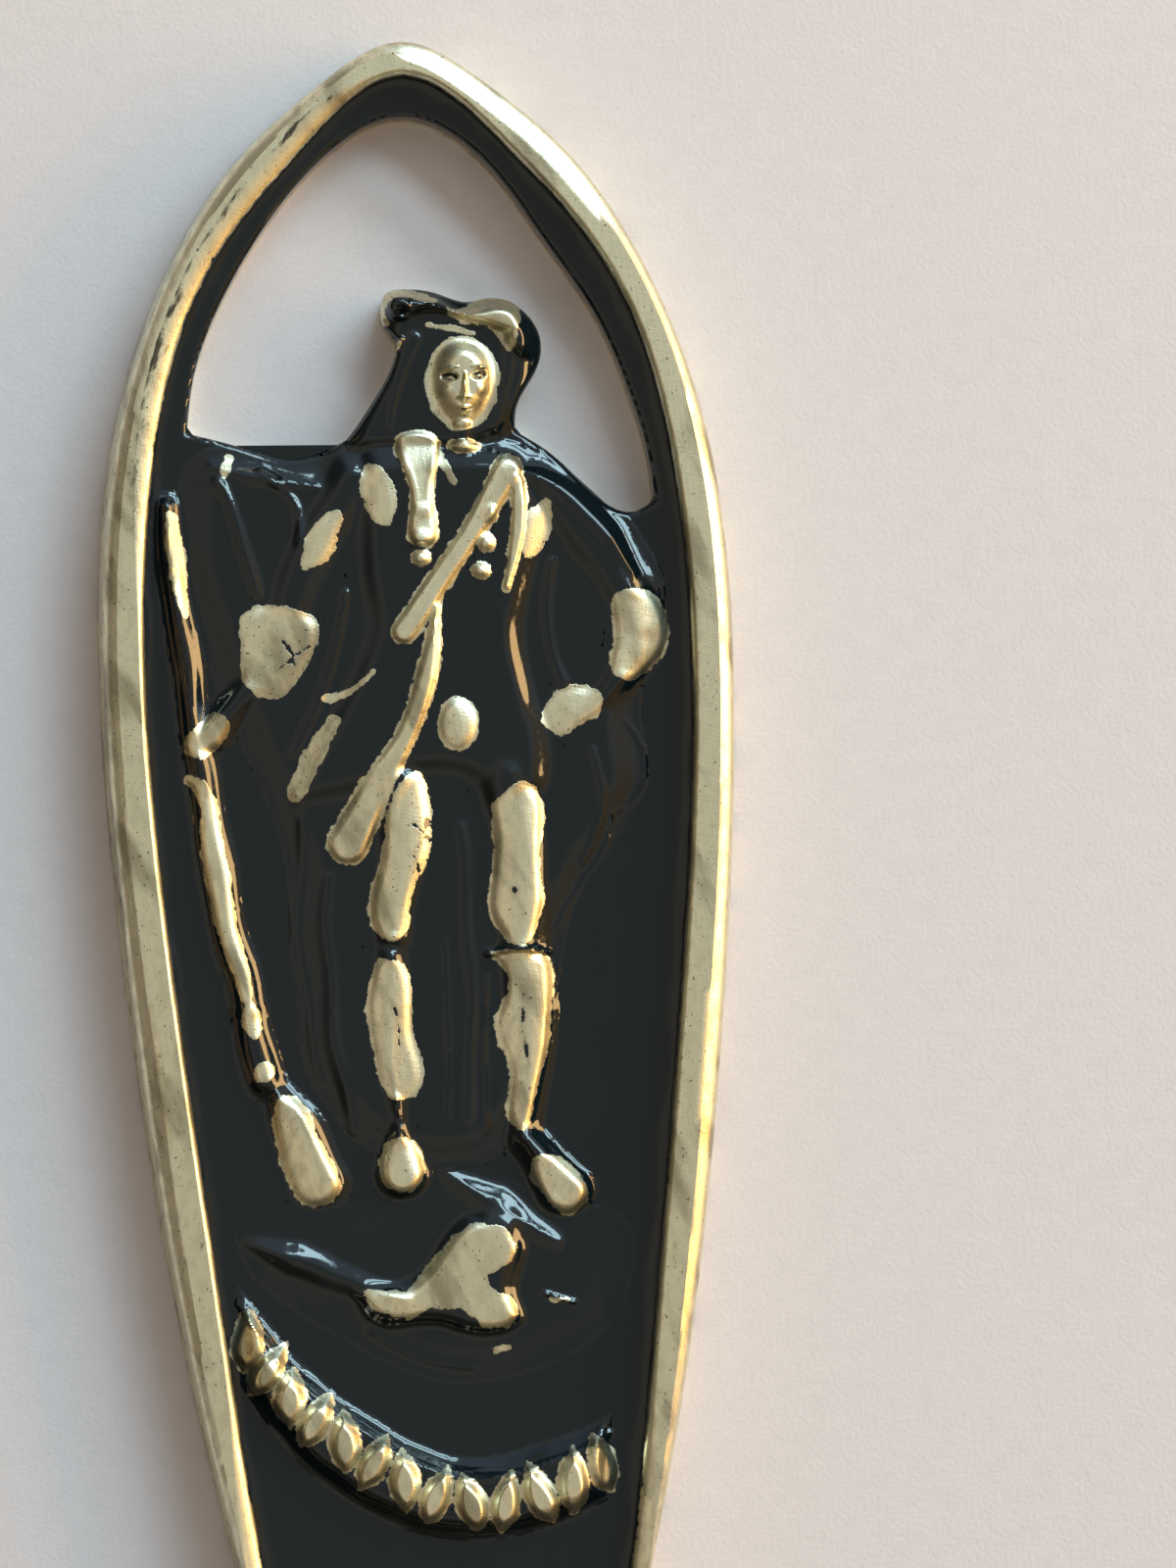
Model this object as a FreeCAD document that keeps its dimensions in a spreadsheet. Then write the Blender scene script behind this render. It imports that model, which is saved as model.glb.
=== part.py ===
import FreeCAD, Part
import math
import os

# A collector's spoon lying face up. X runs across the handle, +Y towards the pointed end of the
# handle, +Z up. The origin is under the middle of the spoon, on the surface that it lies on.
# Outlines on the handle are pairs (across, down): across is measured from the centre line, and
# down is measured from the tip of the handle towards the bowl, both in millimetres.

Vector = FreeCAD.Vector
Rotation = FreeCAD.Rotation
Placement = FreeCAD.Placement

doc = FreeCAD.newDocument("collector_spoon")
sheet = doc.addObject("Spreadsheet::Sheet", "Sizes")

SIZES = {
    "overall_length": 114.0,
    "frame_length": 54.0,
    "frame_end_half_width": 2.0,
    "frame_thickness": 2.0,
    "frame_edge_round": 0.2,
    "plate_thickness": 1.0,
    "enamel_thickness": 0.15,
    "bowl_half_width": 11.2,
    "bowl_depth": 6.0,
    "bowl_wall": 0.9,
    "bowl_front_length": 19.0,
    "bowl_back_length": 14.0,
    "cloak_height": 0.3,
    "mound_height": 0.3,
    "banner_height": 0.3,
    "limb_height": 0.6,
    "coat_height": 0.55,
    "patch_height": 0.75,
    "hair_height": 0.5,
    "head_height": 0.75,
    "hat_height": 0.7,
    "musket_height": 0.65,
    "trim_height": 0.2,
    "button_radius": 0.25,
    "leaf_half_length": 0.62,
    "leaf_half_width": 0.3,
    "leaf_height": 0.35,
}

for row, (alias, value) in enumerate(SIZES.items(), start=1):
    sheet.set(f"A{row}", alias)
    sheet.set(f"B{row}", str(value))
    sheet.setAlias(f"B{row}", alias)

doc.recompute()


def size(alias):
    """A driving dimension, in millimetres."""
    return float(sheet.get(alias))


TIP_Y = size("overall_length") / 2
ENAMEL_TOP = size("plate_thickness") + size("enamel_thickness")
COAT_TOP = ENAMEL_TOP + size("coat_height")
FLAT = Rotation()


def on_handle(height):
    """The placement of a handle piece whose underside is at this height."""
    return Placement(Vector(0, TIP_Y, height), FLAT)


def point(across_down):
    across, down = across_down
    return Vector(across, -down, 0)


def curve(points, closed=False):
    """A smooth curve through the points."""
    spline = Part.BSplineCurve()
    spline.interpolate([point(pair) for pair in points], PeriodicFlag=closed)
    return spline


def line(start, end):
    return Part.LineSegment(point(start), point(end))


def straight_sided(points):
    """The edges of a polygon."""
    return [line(points[number - 1], points[number]) for number in range(len(points))]


def mirrored(right_side):
    """Points from the lower left round the tip to the lower right. The first point is the tip."""
    left_side = [(-across, down) for across, down in reversed(right_side[1:])]
    return left_side + list(right_side)


def origin_plane(body, role):
    """One of the body's own origin planes."""
    return [item for item in body.Origin.OriginFeatures if item.Role == role][0]


def sketch_on_body(body, name, edges):
    """A sketch on the body's own XY plane, holding the edges."""
    sketch = body.newObject("Sketcher::SketchObject", name)
    sketch.AttachmentSupport = (origin_plane(body, "XY_Plane"), [""])
    sketch.MapMode = "FlatFace"
    for edge in edges:
        sketch.addGeometry(edge, False)
    return sketch


def padded(name, edges, thickness, height):
    """A flat handle piece: one or more closed outlines raised by the sheet's thickness."""
    body = doc.addObject("PartDesign::Body", name)
    body.Label = name
    if hasattr(body, "AllowCompound"):
        body.AllowCompound = True
    sketch = sketch_on_body(body, name + "_outline", edges)
    pad = body.newObject("PartDesign::Pad", name + "_pad")
    pad.Profile = sketch
    pad.setExpression("Length", "Sizes." + thickness)
    body.Placement = on_handle(height)
    return body


def cut_round(name, blank, neighbours):
    """The blank with its neighbours' room taken out, so that it meets them face to face."""
    if len(neighbours) == 1:
        tool = neighbours[0]
    else:
        tool = doc.addObject("Part::MultiFuse", name + "_room")
        tool.Shapes = neighbours
    piece = doc.addObject("Part::Cut", name)
    piece.Base = blank
    piece.Tool = tool
    piece.Label = name
    return piece


def group(name, members):
    """Separate solids of one kind, kept in one node."""
    compound = doc.addObject("Part::Compound", name)
    compound.Links = members
    compound.Label = name
    return compound


parts = []


def keep(piece):
    parts.append(piece)
    return piece


# ---------------------------------------------------------------- handle frame, plate and enamel

FRAME_RIGHT_SIDE = [(0, 0), (2.05, 1.0), (4.3, 3.0), (6.2, 6.0), (7.35, 9.2), (8.0, 17.0),
                    (7.45, 25.0), (6.0, 35.0), (3.7, 45.0), (2.0, 54.0)]
RECESS_RIGHT_SIDE = [(0, 1.05), (2.6, 2.9), (4.4, 5.0), (5.6, 7.2), (6.35, 10.0), (6.8, 15.0),
                     (6.5, 21.5), (5.6, 30.0), (4.6, 38.0), (3.0, 44.5)]
RECESS_END = (0, 49.5)

frame_outline = mirrored(FRAME_RIGHT_SIDE)
frame_edges = [curve(frame_outline), line(frame_outline[-1], frame_outline[0])]


def recess_edges():
    """The inner edge of the frame: a pointed arch closed by two tapering sides."""
    outline = mirrored(RECESS_RIGHT_SIDE)
    return [curve(outline), line(outline[-1], RECESS_END), line(RECESS_END, outline[0])]


# The opening runs from the arch down round the hat, hair and shoulders, which stay on the plate.
WINDOW_ARCH = [(-5.6, 9.75), (-5.4, 8.4), (-4.65, 6.5), (-3.4, 4.5), (-1.95, 2.9), (0, 1.95),
               (1.9, 2.95), (3.4, 5.0), (4.7, 7.0), (5.5, 9.0), (5.95, 10.7), (6.05, 11.7)]
WINDOW_RIGHT_SHOULDER = [(6.05, 11.7), (5.5, 12.0), (4.5, 11.5), (3.5, 10.5), (2.6, 9.9)]
WINDOW_HEAD = [(2.6, 9.9), (2.65, 9.3), (3.05, 8.6), (3.3, 8.0), (3.25, 7.4), (2.95, 6.95),
               (2.5, 6.62), (2.0, 6.55), (1.5, 6.64), (0.8, 6.42), (-0.1, 6.28), (-0.55, 6.4),
               (-0.68, 6.8), (-0.6, 7.25), (-0.37, 7.5), (-0.42, 8.15), (-0.8, 8.85), (-1.6, 10.0)]
WINDOW_LEFT_SHOULDER = [(-1.6, 10.0), (-2.9, 10.45), (-4.2, 10.15), (-5.6, 9.75)]
WINDOW_SIDES = [WINDOW_ARCH, WINDOW_RIGHT_SHOULDER, WINDOW_HEAD, WINDOW_LEFT_SHOULDER]


def window_edges():
    return [curve(side) for side in WINDOW_SIDES]


handle_frame = padded("handle_frame", frame_edges + recess_edges(), "frame_thickness", 0)
doc.recompute()
handle_pad = handle_frame.Tip
frame_top_edges = []
for number, edge in enumerate(handle_pad.Shape.Edges, start=1):
    at_top = edge.BoundBox.ZMin > size("frame_thickness") - 0.01
    if at_top and edge.Length > size("frame_length"):
        frame_top_edges.append(f"Edge{number}")
rounded_shoulders = handle_frame.newObject("PartDesign::Fillet", "rounded_shoulders")
rounded_shoulders.Base = (handle_pad, frame_top_edges)
rounded_shoulders.setExpression("Radius", "Sizes.frame_edge_round")
handle_frame.Tip = rounded_shoulders
keep(handle_frame)

back_plate = padded("back_plate", recess_edges() + window_edges(), "plate_thickness", 0)
keep(back_plate)

enamel_ground = padded("enamel_ground", recess_edges() + window_edges(), "enamel_thickness",
                       size("plate_thickness"))
keep(enamel_ground)

# ---------------------------------------------------------------- figure


def relief(name, outlines, thickness, height=ENAMEL_TOP):
    """A relief piece with one smooth closed outline for each solid in it."""
    return padded(name, [curve(outline, closed=True) for outline in outlines], thickness, height)


HAT = [(-0.55, 6.6), (-0.1, 6.42), (0.8, 6.57), (1.5, 6.78), (2.1, 6.7), (2.6, 6.85), (2.95, 7.25),
       (3.05, 7.8), (2.7, 7.9), (1.9, 7.4), (0.6, 7.2), (-0.35, 7.25)]
HEAD = [(1.25, 7.2), (2.1, 7.9), (2.1, 8.9), (1.4, 9.8), (0.6, 9.2), (0.35, 8.1)]
HAIR = [(-0.3, 7.35), (1.2, 6.9), (2.9, 7.6), (2.9, 8.5), (2.4, 9.8), (1.2, 10.3), (-0.3, 10.3),
        (-1.3, 10.1), (-0.65, 8.8)]
COAT = [(-1.2, 10.35), (1.2, 10.5), (2.9, 10.7), (3.5, 12.2), (2.9, 15.0), (3.4, 17.6), (2.4, 18.9),
        (0.6, 18.7), (-1.2, 18.9), (-2.9, 18.9), (-2.3, 16.6), (-1.5, 14.6), (-1.7, 12.4)]
LEFT_SLEEVE = [(-1.3, 10.7), (-2.4, 10.9), (-3.1, 12.4), (-4.4, 14.4), (-3.0, 15.0), (-2.0, 13.8),
               (-1.4, 12.4)]
LEFT_CUFF = [(-4.3, 14.2), (-3.2, 14.1), (-2.5, 14.9), (-2.9, 15.9), (-3.9, 16.5), (-4.5, 15.4)]
LEFT_HAND = [(-5.9, 17.5), (-5.3, 16.9), (-4.7, 16.9), (-4.8, 17.5), (-5.5, 17.9)]
RIGHT_SLEEVE = [(2.9, 10.6), (4.2, 11.5), (5.6, 12.8), (6.1, 14.3), (5.0, 14.3), (4.1, 13.6),
                (3.5, 12.4)]
RIGHT_ELBOW = [(5.0, 14.1), (5.9, 14.1), (6.3, 15.0), (6.0, 15.9), (4.9, 16.3), (4.65, 15.5)]
RIGHT_HAND = [(3.7, 16.3), (4.4, 16.5), (4.45, 17.1), (3.7, 17.6), (3.1, 17.2)]
THIGHS = [[(-0.1, 18.5), (0.15, 20.0), (-0.3, 22.3), (-1.3, 22.4), (-1.3, 20.6)],
          [(2.3, 18.7), (3.1, 19.4), (3.1, 21.2), (2.5, 22.7), (1.6, 21.8), (1.6, 19.8)]]
GAITERS = [[(-1.1, 22.9), (-0.5, 23.8), (-0.4, 26.3), (-0.9, 27.0), (-1.5, 25.4), (-1.6, 23.7)],
           [(2.2, 22.95), (3.0, 23.6), (2.9, 25.6), (2.2, 27.8), (1.7, 26.0), (1.5, 23.8)]]
SHOES = [[(-1.0, 27.4), (-0.3, 27.8), (-0.4, 28.6), (-1.1, 28.8), (-1.4, 28.1)],
         [(2.6, 27.9), (3.4, 28.4), (3.6, 29.2), (2.9, 29.5), (2.3, 28.7)]]
CLOAK = [(-5.2, 10.5), (-2.5, 10.8), (0.6, 10.7), (3.3, 10.7), (5.2, 12.3), (6.1, 14.0),
         (5.4, 17.2), (5.6, 18.7), (4.6, 20.3), (3.5, 22.2), (2.6, 25.5), (0.6, 27.2), (-1.6, 27.3),
         (-3.2, 25.0), (-3.4, 20.0), (-4.4, 17.0), (-5.3, 14.0)]
SCABBARD = [(0.3, 14.9), (0.5, 15.6), (-0.1, 17.6), (-1.2, 19.6), (-2.1, 20.6), (-2.4, 19.9),
            (-1.5, 18.4), (-0.5, 16.6)]
BARREL = [(-6.35, 11.6), (-5.95, 11.6), (-5.4, 17.0), (-4.3, 23.9), (-4.75, 24.0), (-5.9, 17.6)]
LOCK = [(-4.7, 24.3), (-4.25, 24.2), (-3.9, 26.0), (-4.35, 26.0)]
STOCK = [(-3.9, 26.2), (-3.3, 26.5), (-2.4, 28.5), (-2.9, 29.15), (-3.7, 28.6), (-4.0, 27.2)]
CROSS_BELT = [(2.3, 10.85), (2.6, 11.3), (1.2, 13.4), (-0.1, 15.0), (-0.6, 14.9), (0.5, 12.9)]
LEFT_LAPEL = [(-0.3, 10.7), (0.5, 10.8), (0.45, 12.0), (0.1, 13.2), (-0.25, 12.0)]
RIGHT_LAPEL = [(2.65, 11.7), (2.85, 12.2), (2.45, 13.8), (2.15, 13.8), (2.3, 12.8)]
POUCH = [(0.9, 16.5), (1.4, 17.1), (1.0, 17.9), (0.4, 17.3)]

hat = keep(relief("hat", [HAT], "hat_height"))
head_blank = relief("head_blank", [HEAD], "head_height")
head = keep(cut_round("head", head_blank, [hat]))
hair_blank = relief("hair_blank", [HAIR], "hair_height")
keep(cut_round("hair", hair_blank, [hat, head_blank]))

cross_belt = keep(relief("cross_belt", [CROSS_BELT], "trim_height", COAT_TOP))
left_lapel_blank = relief("left_lapel_blank", [LEFT_LAPEL], "trim_height", COAT_TOP)
left_lapel = keep(cut_round("left_lapel", left_lapel_blank, [cross_belt]))
keep(relief("right_lapel", [RIGHT_LAPEL], "trim_height", COAT_TOP))
keep(relief("belly_pouch", [POUCH], "trim_height", COAT_TOP))

# Three buttons run down beside each lapel.
BUTTON_PLACES = [(1.8, 12.75), (1.65, 13.35), (1.5, 13.95), (-0.5, 12.0), (-0.5, 12.6), (-0.5, 13.2)]
buttons = []
for number, (across, down) in enumerate(BUTTON_PLACES, start=1):
    button = doc.addObject("Part::Cylinder", f"button_{number}")
    button.setExpression("Radius", "Sizes.button_radius")
    button.setExpression("Height", "Sizes.trim_height")
    button.Placement = Placement(Vector(across, TIP_Y - down, COAT_TOP), FLAT)
    buttons.append(button)
keep(group("coat_buttons", buttons))

scabbard_blank = relief("scabbard_blank", [SCABBARD], "patch_height")
keep(cut_round("scabbard", scabbard_blank, [cross_belt]))
left_hand = keep(relief("left_hand", [LEFT_HAND], "patch_height"))
left_cuff = keep(relief("left_cuff", [LEFT_CUFF], "patch_height"))
right_elbow = keep(relief("right_elbow", [RIGHT_ELBOW], "patch_height"))
right_hand = keep(relief("right_hand", [RIGHT_HAND], "patch_height"))

thighs_blank = relief("breeches_blank", THIGHS, "limb_height")
keep(cut_round("breeches", thighs_blank, [scabbard_blank]))
gaiters = keep(relief("gaiters", GAITERS, "limb_height"))
shoes = keep(relief("shoes", SHOES, "limb_height"))

coat_blank = relief("coat_blank", [COAT], "coat_height")
keep(cut_round("coat", coat_blank, [scabbard_blank, thighs_blank, hair_blank, right_hand]))
left_sleeve_blank = relief("left_sleeve_blank", [LEFT_SLEEVE], "coat_height")
keep(cut_round("left_sleeve", left_sleeve_blank, [coat_blank, left_cuff]))
right_sleeve_blank = relief("right_sleeve_blank", [RIGHT_SLEEVE], "coat_height")
keep(cut_round("right_sleeve", right_sleeve_blank, [coat_blank, right_elbow]))

# ---------------------------------------------------------------- musket

musket_barrel_blank = padded("musket_barrel_blank", straight_sided(BARREL), "musket_height",
                             ENAMEL_TOP)
keep(cut_round("musket_barrel", musket_barrel_blank, [left_hand]))
musket_lock = keep(relief("musket_lock", [LOCK], "musket_height"))
musket_stock = keep(relief("musket_stock", [STOCK], "musket_height"))

cloak_blank = relief("cloak_blank", [CLOAK], "cloak_height")
cloak_neighbours = [coat_blank, left_sleeve_blank, right_sleeve_blank, left_cuff, right_elbow,
                    right_hand, scabbard_blank, thighs_blank, gaiters, hair_blank, left_hand,
                    musket_barrel_blank]
keep(cut_round("cloak", cloak_blank, cloak_neighbours))

# ---------------------------------------------------------------- ground and banner

MOUND = [(-4.9, 29.6), (-3.6, 29.4), (-1.0, 28.6), (0.8, 28.2), (2.6, 29.2), (4.6, 30.0),
         (4.4, 32.0), (2.4, 33.4), (-0.2, 33.5), (-2.6, 32.2), (-4.6, 30.6)]
ROCK = [(0.5, 29.8), (1.5, 29.7), (2.0, 30.4), (1.4, 31.1), (1.9, 31.9), (1.1, 32.2), (0.2, 31.7),
        (-1.6, 31.8), (-1.9, 31.2), (-0.3, 30.8)]
rock = keep(relief("polished_rock", [ROCK], "patch_height"))
mound_blank = relief("ground_mound_blank", [MOUND], "mound_height")
keep(cut_round("ground_mound", mound_blank, [rock, shoes, musket_stock]))

BANNER_TOP = [(-5.0, 31.2), (-3.2, 33.4), (-1.0, 34.95), (1.3, 35.5), (4.1, 34.6)]
BANNER_FOOT = [(4.0, 36.6), (1.2, 37.6), (-1.4, 37.1), (-3.6, 35.5), (-5.0, 33.5)]
banner_edges = [curve(BANNER_TOP), line(BANNER_TOP[-1], BANNER_FOOT[0]), curve(BANNER_FOOT),
                line(BANNER_FOOT[-1], BANNER_TOP[0])]
keep(padded("banner", banner_edges, "banner_height", ENAMEL_TOP))

# A row of small upright leaves follows the middle of the banner, each leaning half as much as
# the banner does there.
LEAF_COUNT = 13
LEAF_DROP = 1.15
LEAF_END_MARGIN = 0.35
leaf_line = curve(BANNER_TOP)
leaf_first = leaf_line.FirstParameter
leaf_span = leaf_line.LastParameter - leaf_first
leaves = []
for number in range(LEAF_COUNT):
    share = (number + LEAF_END_MARGIN) / (LEAF_COUNT - 1 + 2 * LEAF_END_MARGIN)
    place = leaf_line.value(leaf_first + leaf_span * share)
    along = leaf_line.tangent(leaf_first + leaf_span * share)[0]
    lean = math.degrees(math.atan2(along.y, along.x)) / 2
    downward = Vector(0, -LEAF_DROP, 0)
    outline = doc.addObject("Part::Ellipse", f"leaf_outline_{number + 1}")
    outline.setExpression("MajorRadius", "Sizes.leaf_half_length")
    outline.setExpression("MinorRadius", "Sizes.leaf_half_width")
    upright = Rotation(Vector(0, 0, 1), 90 + lean)
    foot = ENAMEL_TOP + size("banner_height")
    middle = Vector(0, TIP_Y, foot) + place + downward
    outline.Placement = Placement(middle, upright)
    leaf = doc.addObject("Part::Extrusion", f"leaf_{number + 1}")
    leaf.Base = outline
    leaf.DirMode = "Custom"
    leaf.Dir = Vector(0, 0, 1)
    leaf.Solid = True
    leaf.setExpression("LengthFwd", "Sizes.leaf_height")
    leaves.append(leaf)
keep(group("banner_leaves", leaves))

# ---------------------------------------------------------------- bowl and stem

BOWL_MIDDLE_Y = -TIP_Y + size("bowl_front_length")


def bowl_half(name, length, turned, inset):
    """A quarter of an ellipsoid below the rim. The front half is turned to face -Y."""
    half = doc.addObject("Part::Ellipsoid", name)
    half.setExpression("Radius1", f"Sizes.bowl_depth - {inset}")
    half.setExpression("Radius2", f"Sizes.bowl_half_width - {inset}")
    half.setExpression("Radius3", f"Sizes.{length} - {inset}")
    half.Angle1 = -90
    half.Angle2 = 0
    half.Angle3 = 180
    middle = Vector(0, BOWL_MIDDLE_Y, size("bowl_depth"))
    half.Placement = Placement(middle, Rotation(Vector(0, 0, 1), 180 if turned else 0))
    return half


def bowl_shell(name, inset):
    """The front and back halves joined at the widest place."""
    shell = doc.addObject("Part::MultiFuse", name)
    shell.Shapes = [bowl_half(name + "_back", "bowl_back_length", False, inset),
                    bowl_half(name + "_front", "bowl_front_length", True, inset)]
    shell.Refine = True
    return shell


bowl_outside = bowl_shell("bowl_outside", "0")
bowl_inside = bowl_shell("bowl_inside", "Sizes.bowl_wall")
keep(cut_round("bowl", bowl_outside, [bowl_inside]))

# Each station of the stem: distance from the tip, height of its middle, half width, half
# thickness and slope in degrees. The stem rises from the flat handle and dips to the bowl's rim.
STEM_STATIONS = [(54.0, 1.0, 2.0, 1.0, 0), (60.0, 2.1, 1.75, 1.1, 20), (67.0, 4.7, 1.7, 1.15, 20),
                 (74.0, 6.3, 1.9, 1.05, 4), (79.0, 6.0, 2.4, 0.85, -14), (83.5, 4.85, 2.7, 0.7, -14)]
stations = []
for number, (down, height, half_width, half_thickness, slope) in enumerate(STEM_STATIONS, start=1):
    station = doc.addObject("Part::Ellipse", f"stem_station_{number}")
    station.MajorRadius = half_width
    station.MinorRadius = half_thickness
    facing = Rotation(Vector(1, 0, 0), 90 - slope)
    station.Placement = Placement(Vector(0, TIP_Y - down, height), facing)
    stations.append(station)
stem_blank = doc.addObject("Part::Loft", "stem_blank")
stem_blank.Sections = stations
stem_blank.Solid = True
stem_blank.Ruled = False
keep(cut_round("stem", stem_blank, [bowl_outside]))

# ---------------------------------------------------------------- check and write

doc.recompute()

for item in doc.Objects:
    if "Invalid" in item.State or "Error" in item.State:
        raise RuntimeError(f"{item.Label} failed: {item.State}")
for piece in parts:
    if piece.Shape.isNull() or not piece.Shape.isValid() or piece.Shape.Volume <= 0:
        raise RuntimeError(f"{piece.Label} has no sound shape")

os.makedirs("parts", exist_ok=True)
for piece in parts:
    solids = len(piece.Shape.Solids)
    print(f"{piece.Label}: {solids} solid(s), {piece.Shape.Volume:.3f} mm3")
    piece.Shape.exportStep(os.path.join("parts", piece.Label + ".step"))
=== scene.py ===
import math

import bmesh
import bpy
import numpy as np
from mathutils import Matrix, Vector
from mathutils.geometry import tessellate_polygon


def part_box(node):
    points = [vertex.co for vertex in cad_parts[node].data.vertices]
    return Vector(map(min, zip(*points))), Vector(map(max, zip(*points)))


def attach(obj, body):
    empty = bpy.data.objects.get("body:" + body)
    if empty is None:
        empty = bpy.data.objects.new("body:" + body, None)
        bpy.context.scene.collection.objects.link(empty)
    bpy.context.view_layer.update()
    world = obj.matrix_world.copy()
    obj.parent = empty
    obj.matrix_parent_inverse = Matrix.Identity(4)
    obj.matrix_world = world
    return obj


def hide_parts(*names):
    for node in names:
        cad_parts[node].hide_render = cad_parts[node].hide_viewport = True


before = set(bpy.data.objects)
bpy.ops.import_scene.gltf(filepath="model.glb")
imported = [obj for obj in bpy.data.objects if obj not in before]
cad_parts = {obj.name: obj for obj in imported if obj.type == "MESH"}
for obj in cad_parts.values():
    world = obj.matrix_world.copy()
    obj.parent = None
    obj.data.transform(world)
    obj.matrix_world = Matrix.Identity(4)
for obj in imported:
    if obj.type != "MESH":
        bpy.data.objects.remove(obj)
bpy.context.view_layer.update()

# A small collector's spoon lies face up on pale paper. Relief work is laid out on the handle in
# millimetres as pairs (across, down): across from the centre line, down from the tip of the
# handle. Heights are in millimetres above the paper.

MM = 0.001
TIP_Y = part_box("handle_frame")[1][1] / MM
RIM_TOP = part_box("handle_frame")[1][2] / MM
PLATE_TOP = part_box("back_plate")[1][2] / MM
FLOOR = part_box("enamel_ground")[1][2] / MM


def to_frame(across, down, height):
    """Handle millimetres to metres in the spoon's frame."""
    return np.stack([across * MM, (TIP_Y - down) * MM, height * MM], axis=-1)


# ---- curves and distances


def bends(places, where):
    """Second derivatives of the curve through the places that bends as evenly as it can."""
    count = len(places)
    gaps = np.diff(where)
    system = np.eye(count)
    wanted = np.zeros_like(places)
    for number in range(1, count - 1):
        before, after = gaps[number - 1], gaps[number]
        system[number, number - 1:number + 2] = before, 2 * (before + after), after
        wanted[number] = 6 * ((places[number + 1] - places[number]) / after
                              - (places[number] - places[number - 1]) / before)
    return np.linalg.solve(system, wanted)


CLOSING_LAP = 4


def smooth_line(points, closed=False, pieces=8):
    """A cubic spline through the points, as an array of places along it."""
    given = np.array(points, float)
    if closed:
        lap = min(CLOSING_LAP, len(given) - 1)
        given = np.vstack([given[-lap:], given, given[:lap + 1]])
    where = np.concatenate([[0], np.cumsum(np.hypot(*np.diff(given[:, :2], axis=0).T))])
    second = bends(given, where)
    share = np.linspace(0, 1, pieces, endpoint=False)[:, None]
    runs = []
    for number in range(len(given) - 1):
        gap = where[number + 1] - where[number]
        start, end = given[number], given[number + 1]
        curl = ((1 - share) ** 3 - (1 - share)) * second[number]
        curl = curl + (share ** 3 - share) * second[number + 1]
        runs.append((1 - share) * start + share * end + gap * gap / 6 * curl)
    if closed:
        return np.vstack(runs[lap:len(runs) - lap])
    return np.vstack(runs + [given[-1:]])


FAR = 3.0          # beyond this a distance isn't needed, in millimetres
TOUCHING = 1e-12   # two corners closer than the root of this are one


def inside_distance(across, down, outline):
    """How far each place is inside a closed outline, negative outside and never under -FAR."""
    low = outline.min(axis=0) - FAR
    high = outline.max(axis=0) + FAR
    near = (across > low[0]) & (across < high[0]) & (down > low[1]) & (down < high[1])
    result = np.full(across.shape, -FAR)
    x, y = across[near], down[near]
    if not len(x):
        return result
    nearest = np.full(x.shape, FAR ** 2)
    inside = np.zeros(x.shape, bool)
    ends = np.roll(outline, -1, axis=0)
    for (x1, y1), (x2, y2) in zip(outline, ends):
        dx, dy = x2 - x1, y2 - y1
        length2 = dx * dx + dy * dy
        if length2 < TOUCHING:
            continue
        along = np.clip(((x - x1) * dx + (y - y1) * dy) / length2, 0, 1)
        gap2 = (x - x1 - along * dx) ** 2 + (y - y1 - along * dy) ** 2
        np.minimum(nearest, gap2, out=nearest)
        if y1 != y2:
            crosses = ((y1 > y) != (y2 > y)) & (x < (y - y1) * dx / dy + x1)
            inside ^= crosses
    gap = np.sqrt(nearest)
    result[near] = np.where(inside, gap, -gap)
    return result


def stroke_distance(across, down, path, radii):
    """How far each place is inside a stroke whose half width changes along its path."""
    result = np.full(across.shape, -FAR)
    for number in range(len(path) - 1):
        (x1, y1), (x2, y2) = path[number], path[number + 1]
        r1, r2 = radii[number], radii[number + 1]
        dx, dy = x2 - x1, y2 - y1
        along = np.clip(((across - x1) * dx + (down - y1) * dy) / (dx * dx + dy * dy), 0, 1)
        gap = np.hypot(across - x1 - along * dx, down - y1 - along * dy)
        result = np.maximum(result, r1 + (r2 - r1) * along - gap)
    return np.maximum(result, -FAR)


def distance_along(line):
    """How far along a line each of its points is."""
    return np.concatenate([[0], np.cumsum(np.hypot(*np.diff(line, axis=0).T))])


def rise(share):
    """0 to 1 with soft ends."""
    share = np.clip(share, 0, 1)
    return share * share * (3 - 2 * share)


def soft_max(first, second, blend):
    """The higher of two surfaces with the crease between them filled."""
    lap = np.clip(1 - np.abs(first - second) / blend, 0, 1)
    return np.maximum(first, second) + 0.25 * blend * lap * lap


# ---- shapes for the relief
# A shape gives its inside distance at any place. A form is a shape with a height.


def outline(points, closed_corners=False):
    line = np.array(points, float) if closed_corners else smooth_line(points, closed=True)
    return lambda across, down: inside_distance(across, down, line)


OVAL_CORNERS = 40


def oval(middle, half_across, half_down, tilt=0):
    turn = math.radians(tilt)
    angles = np.linspace(0, 2 * math.pi, OVAL_CORNERS, endpoint=False)
    x, y = half_across * np.cos(angles), half_down * np.sin(angles)
    line = np.stack([middle[0] + x * math.cos(turn) - y * math.sin(turn),
                     middle[1] + x * math.sin(turn) + y * math.cos(turn)], axis=-1)
    return lambda across, down: inside_distance(across, down, line)


def stroke(path, *half_widths):
    radii = list(half_widths) + [half_widths[-1]] * (len(path) - len(half_widths))
    soft_path = smooth_line(path, pieces=4)
    where = np.linspace(0, len(path) - 1, len(soft_path))
    soft_radii = np.interp(where, range(len(path)), radii)
    return lambda across, down: stroke_distance(across, down, soft_path, soft_radii)


def swell(height, width, shape):
    """A form that reaches its height this far in from its edge, rounded like a pillow."""
    return height, width, shape


# ---- outlines of the castings

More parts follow.
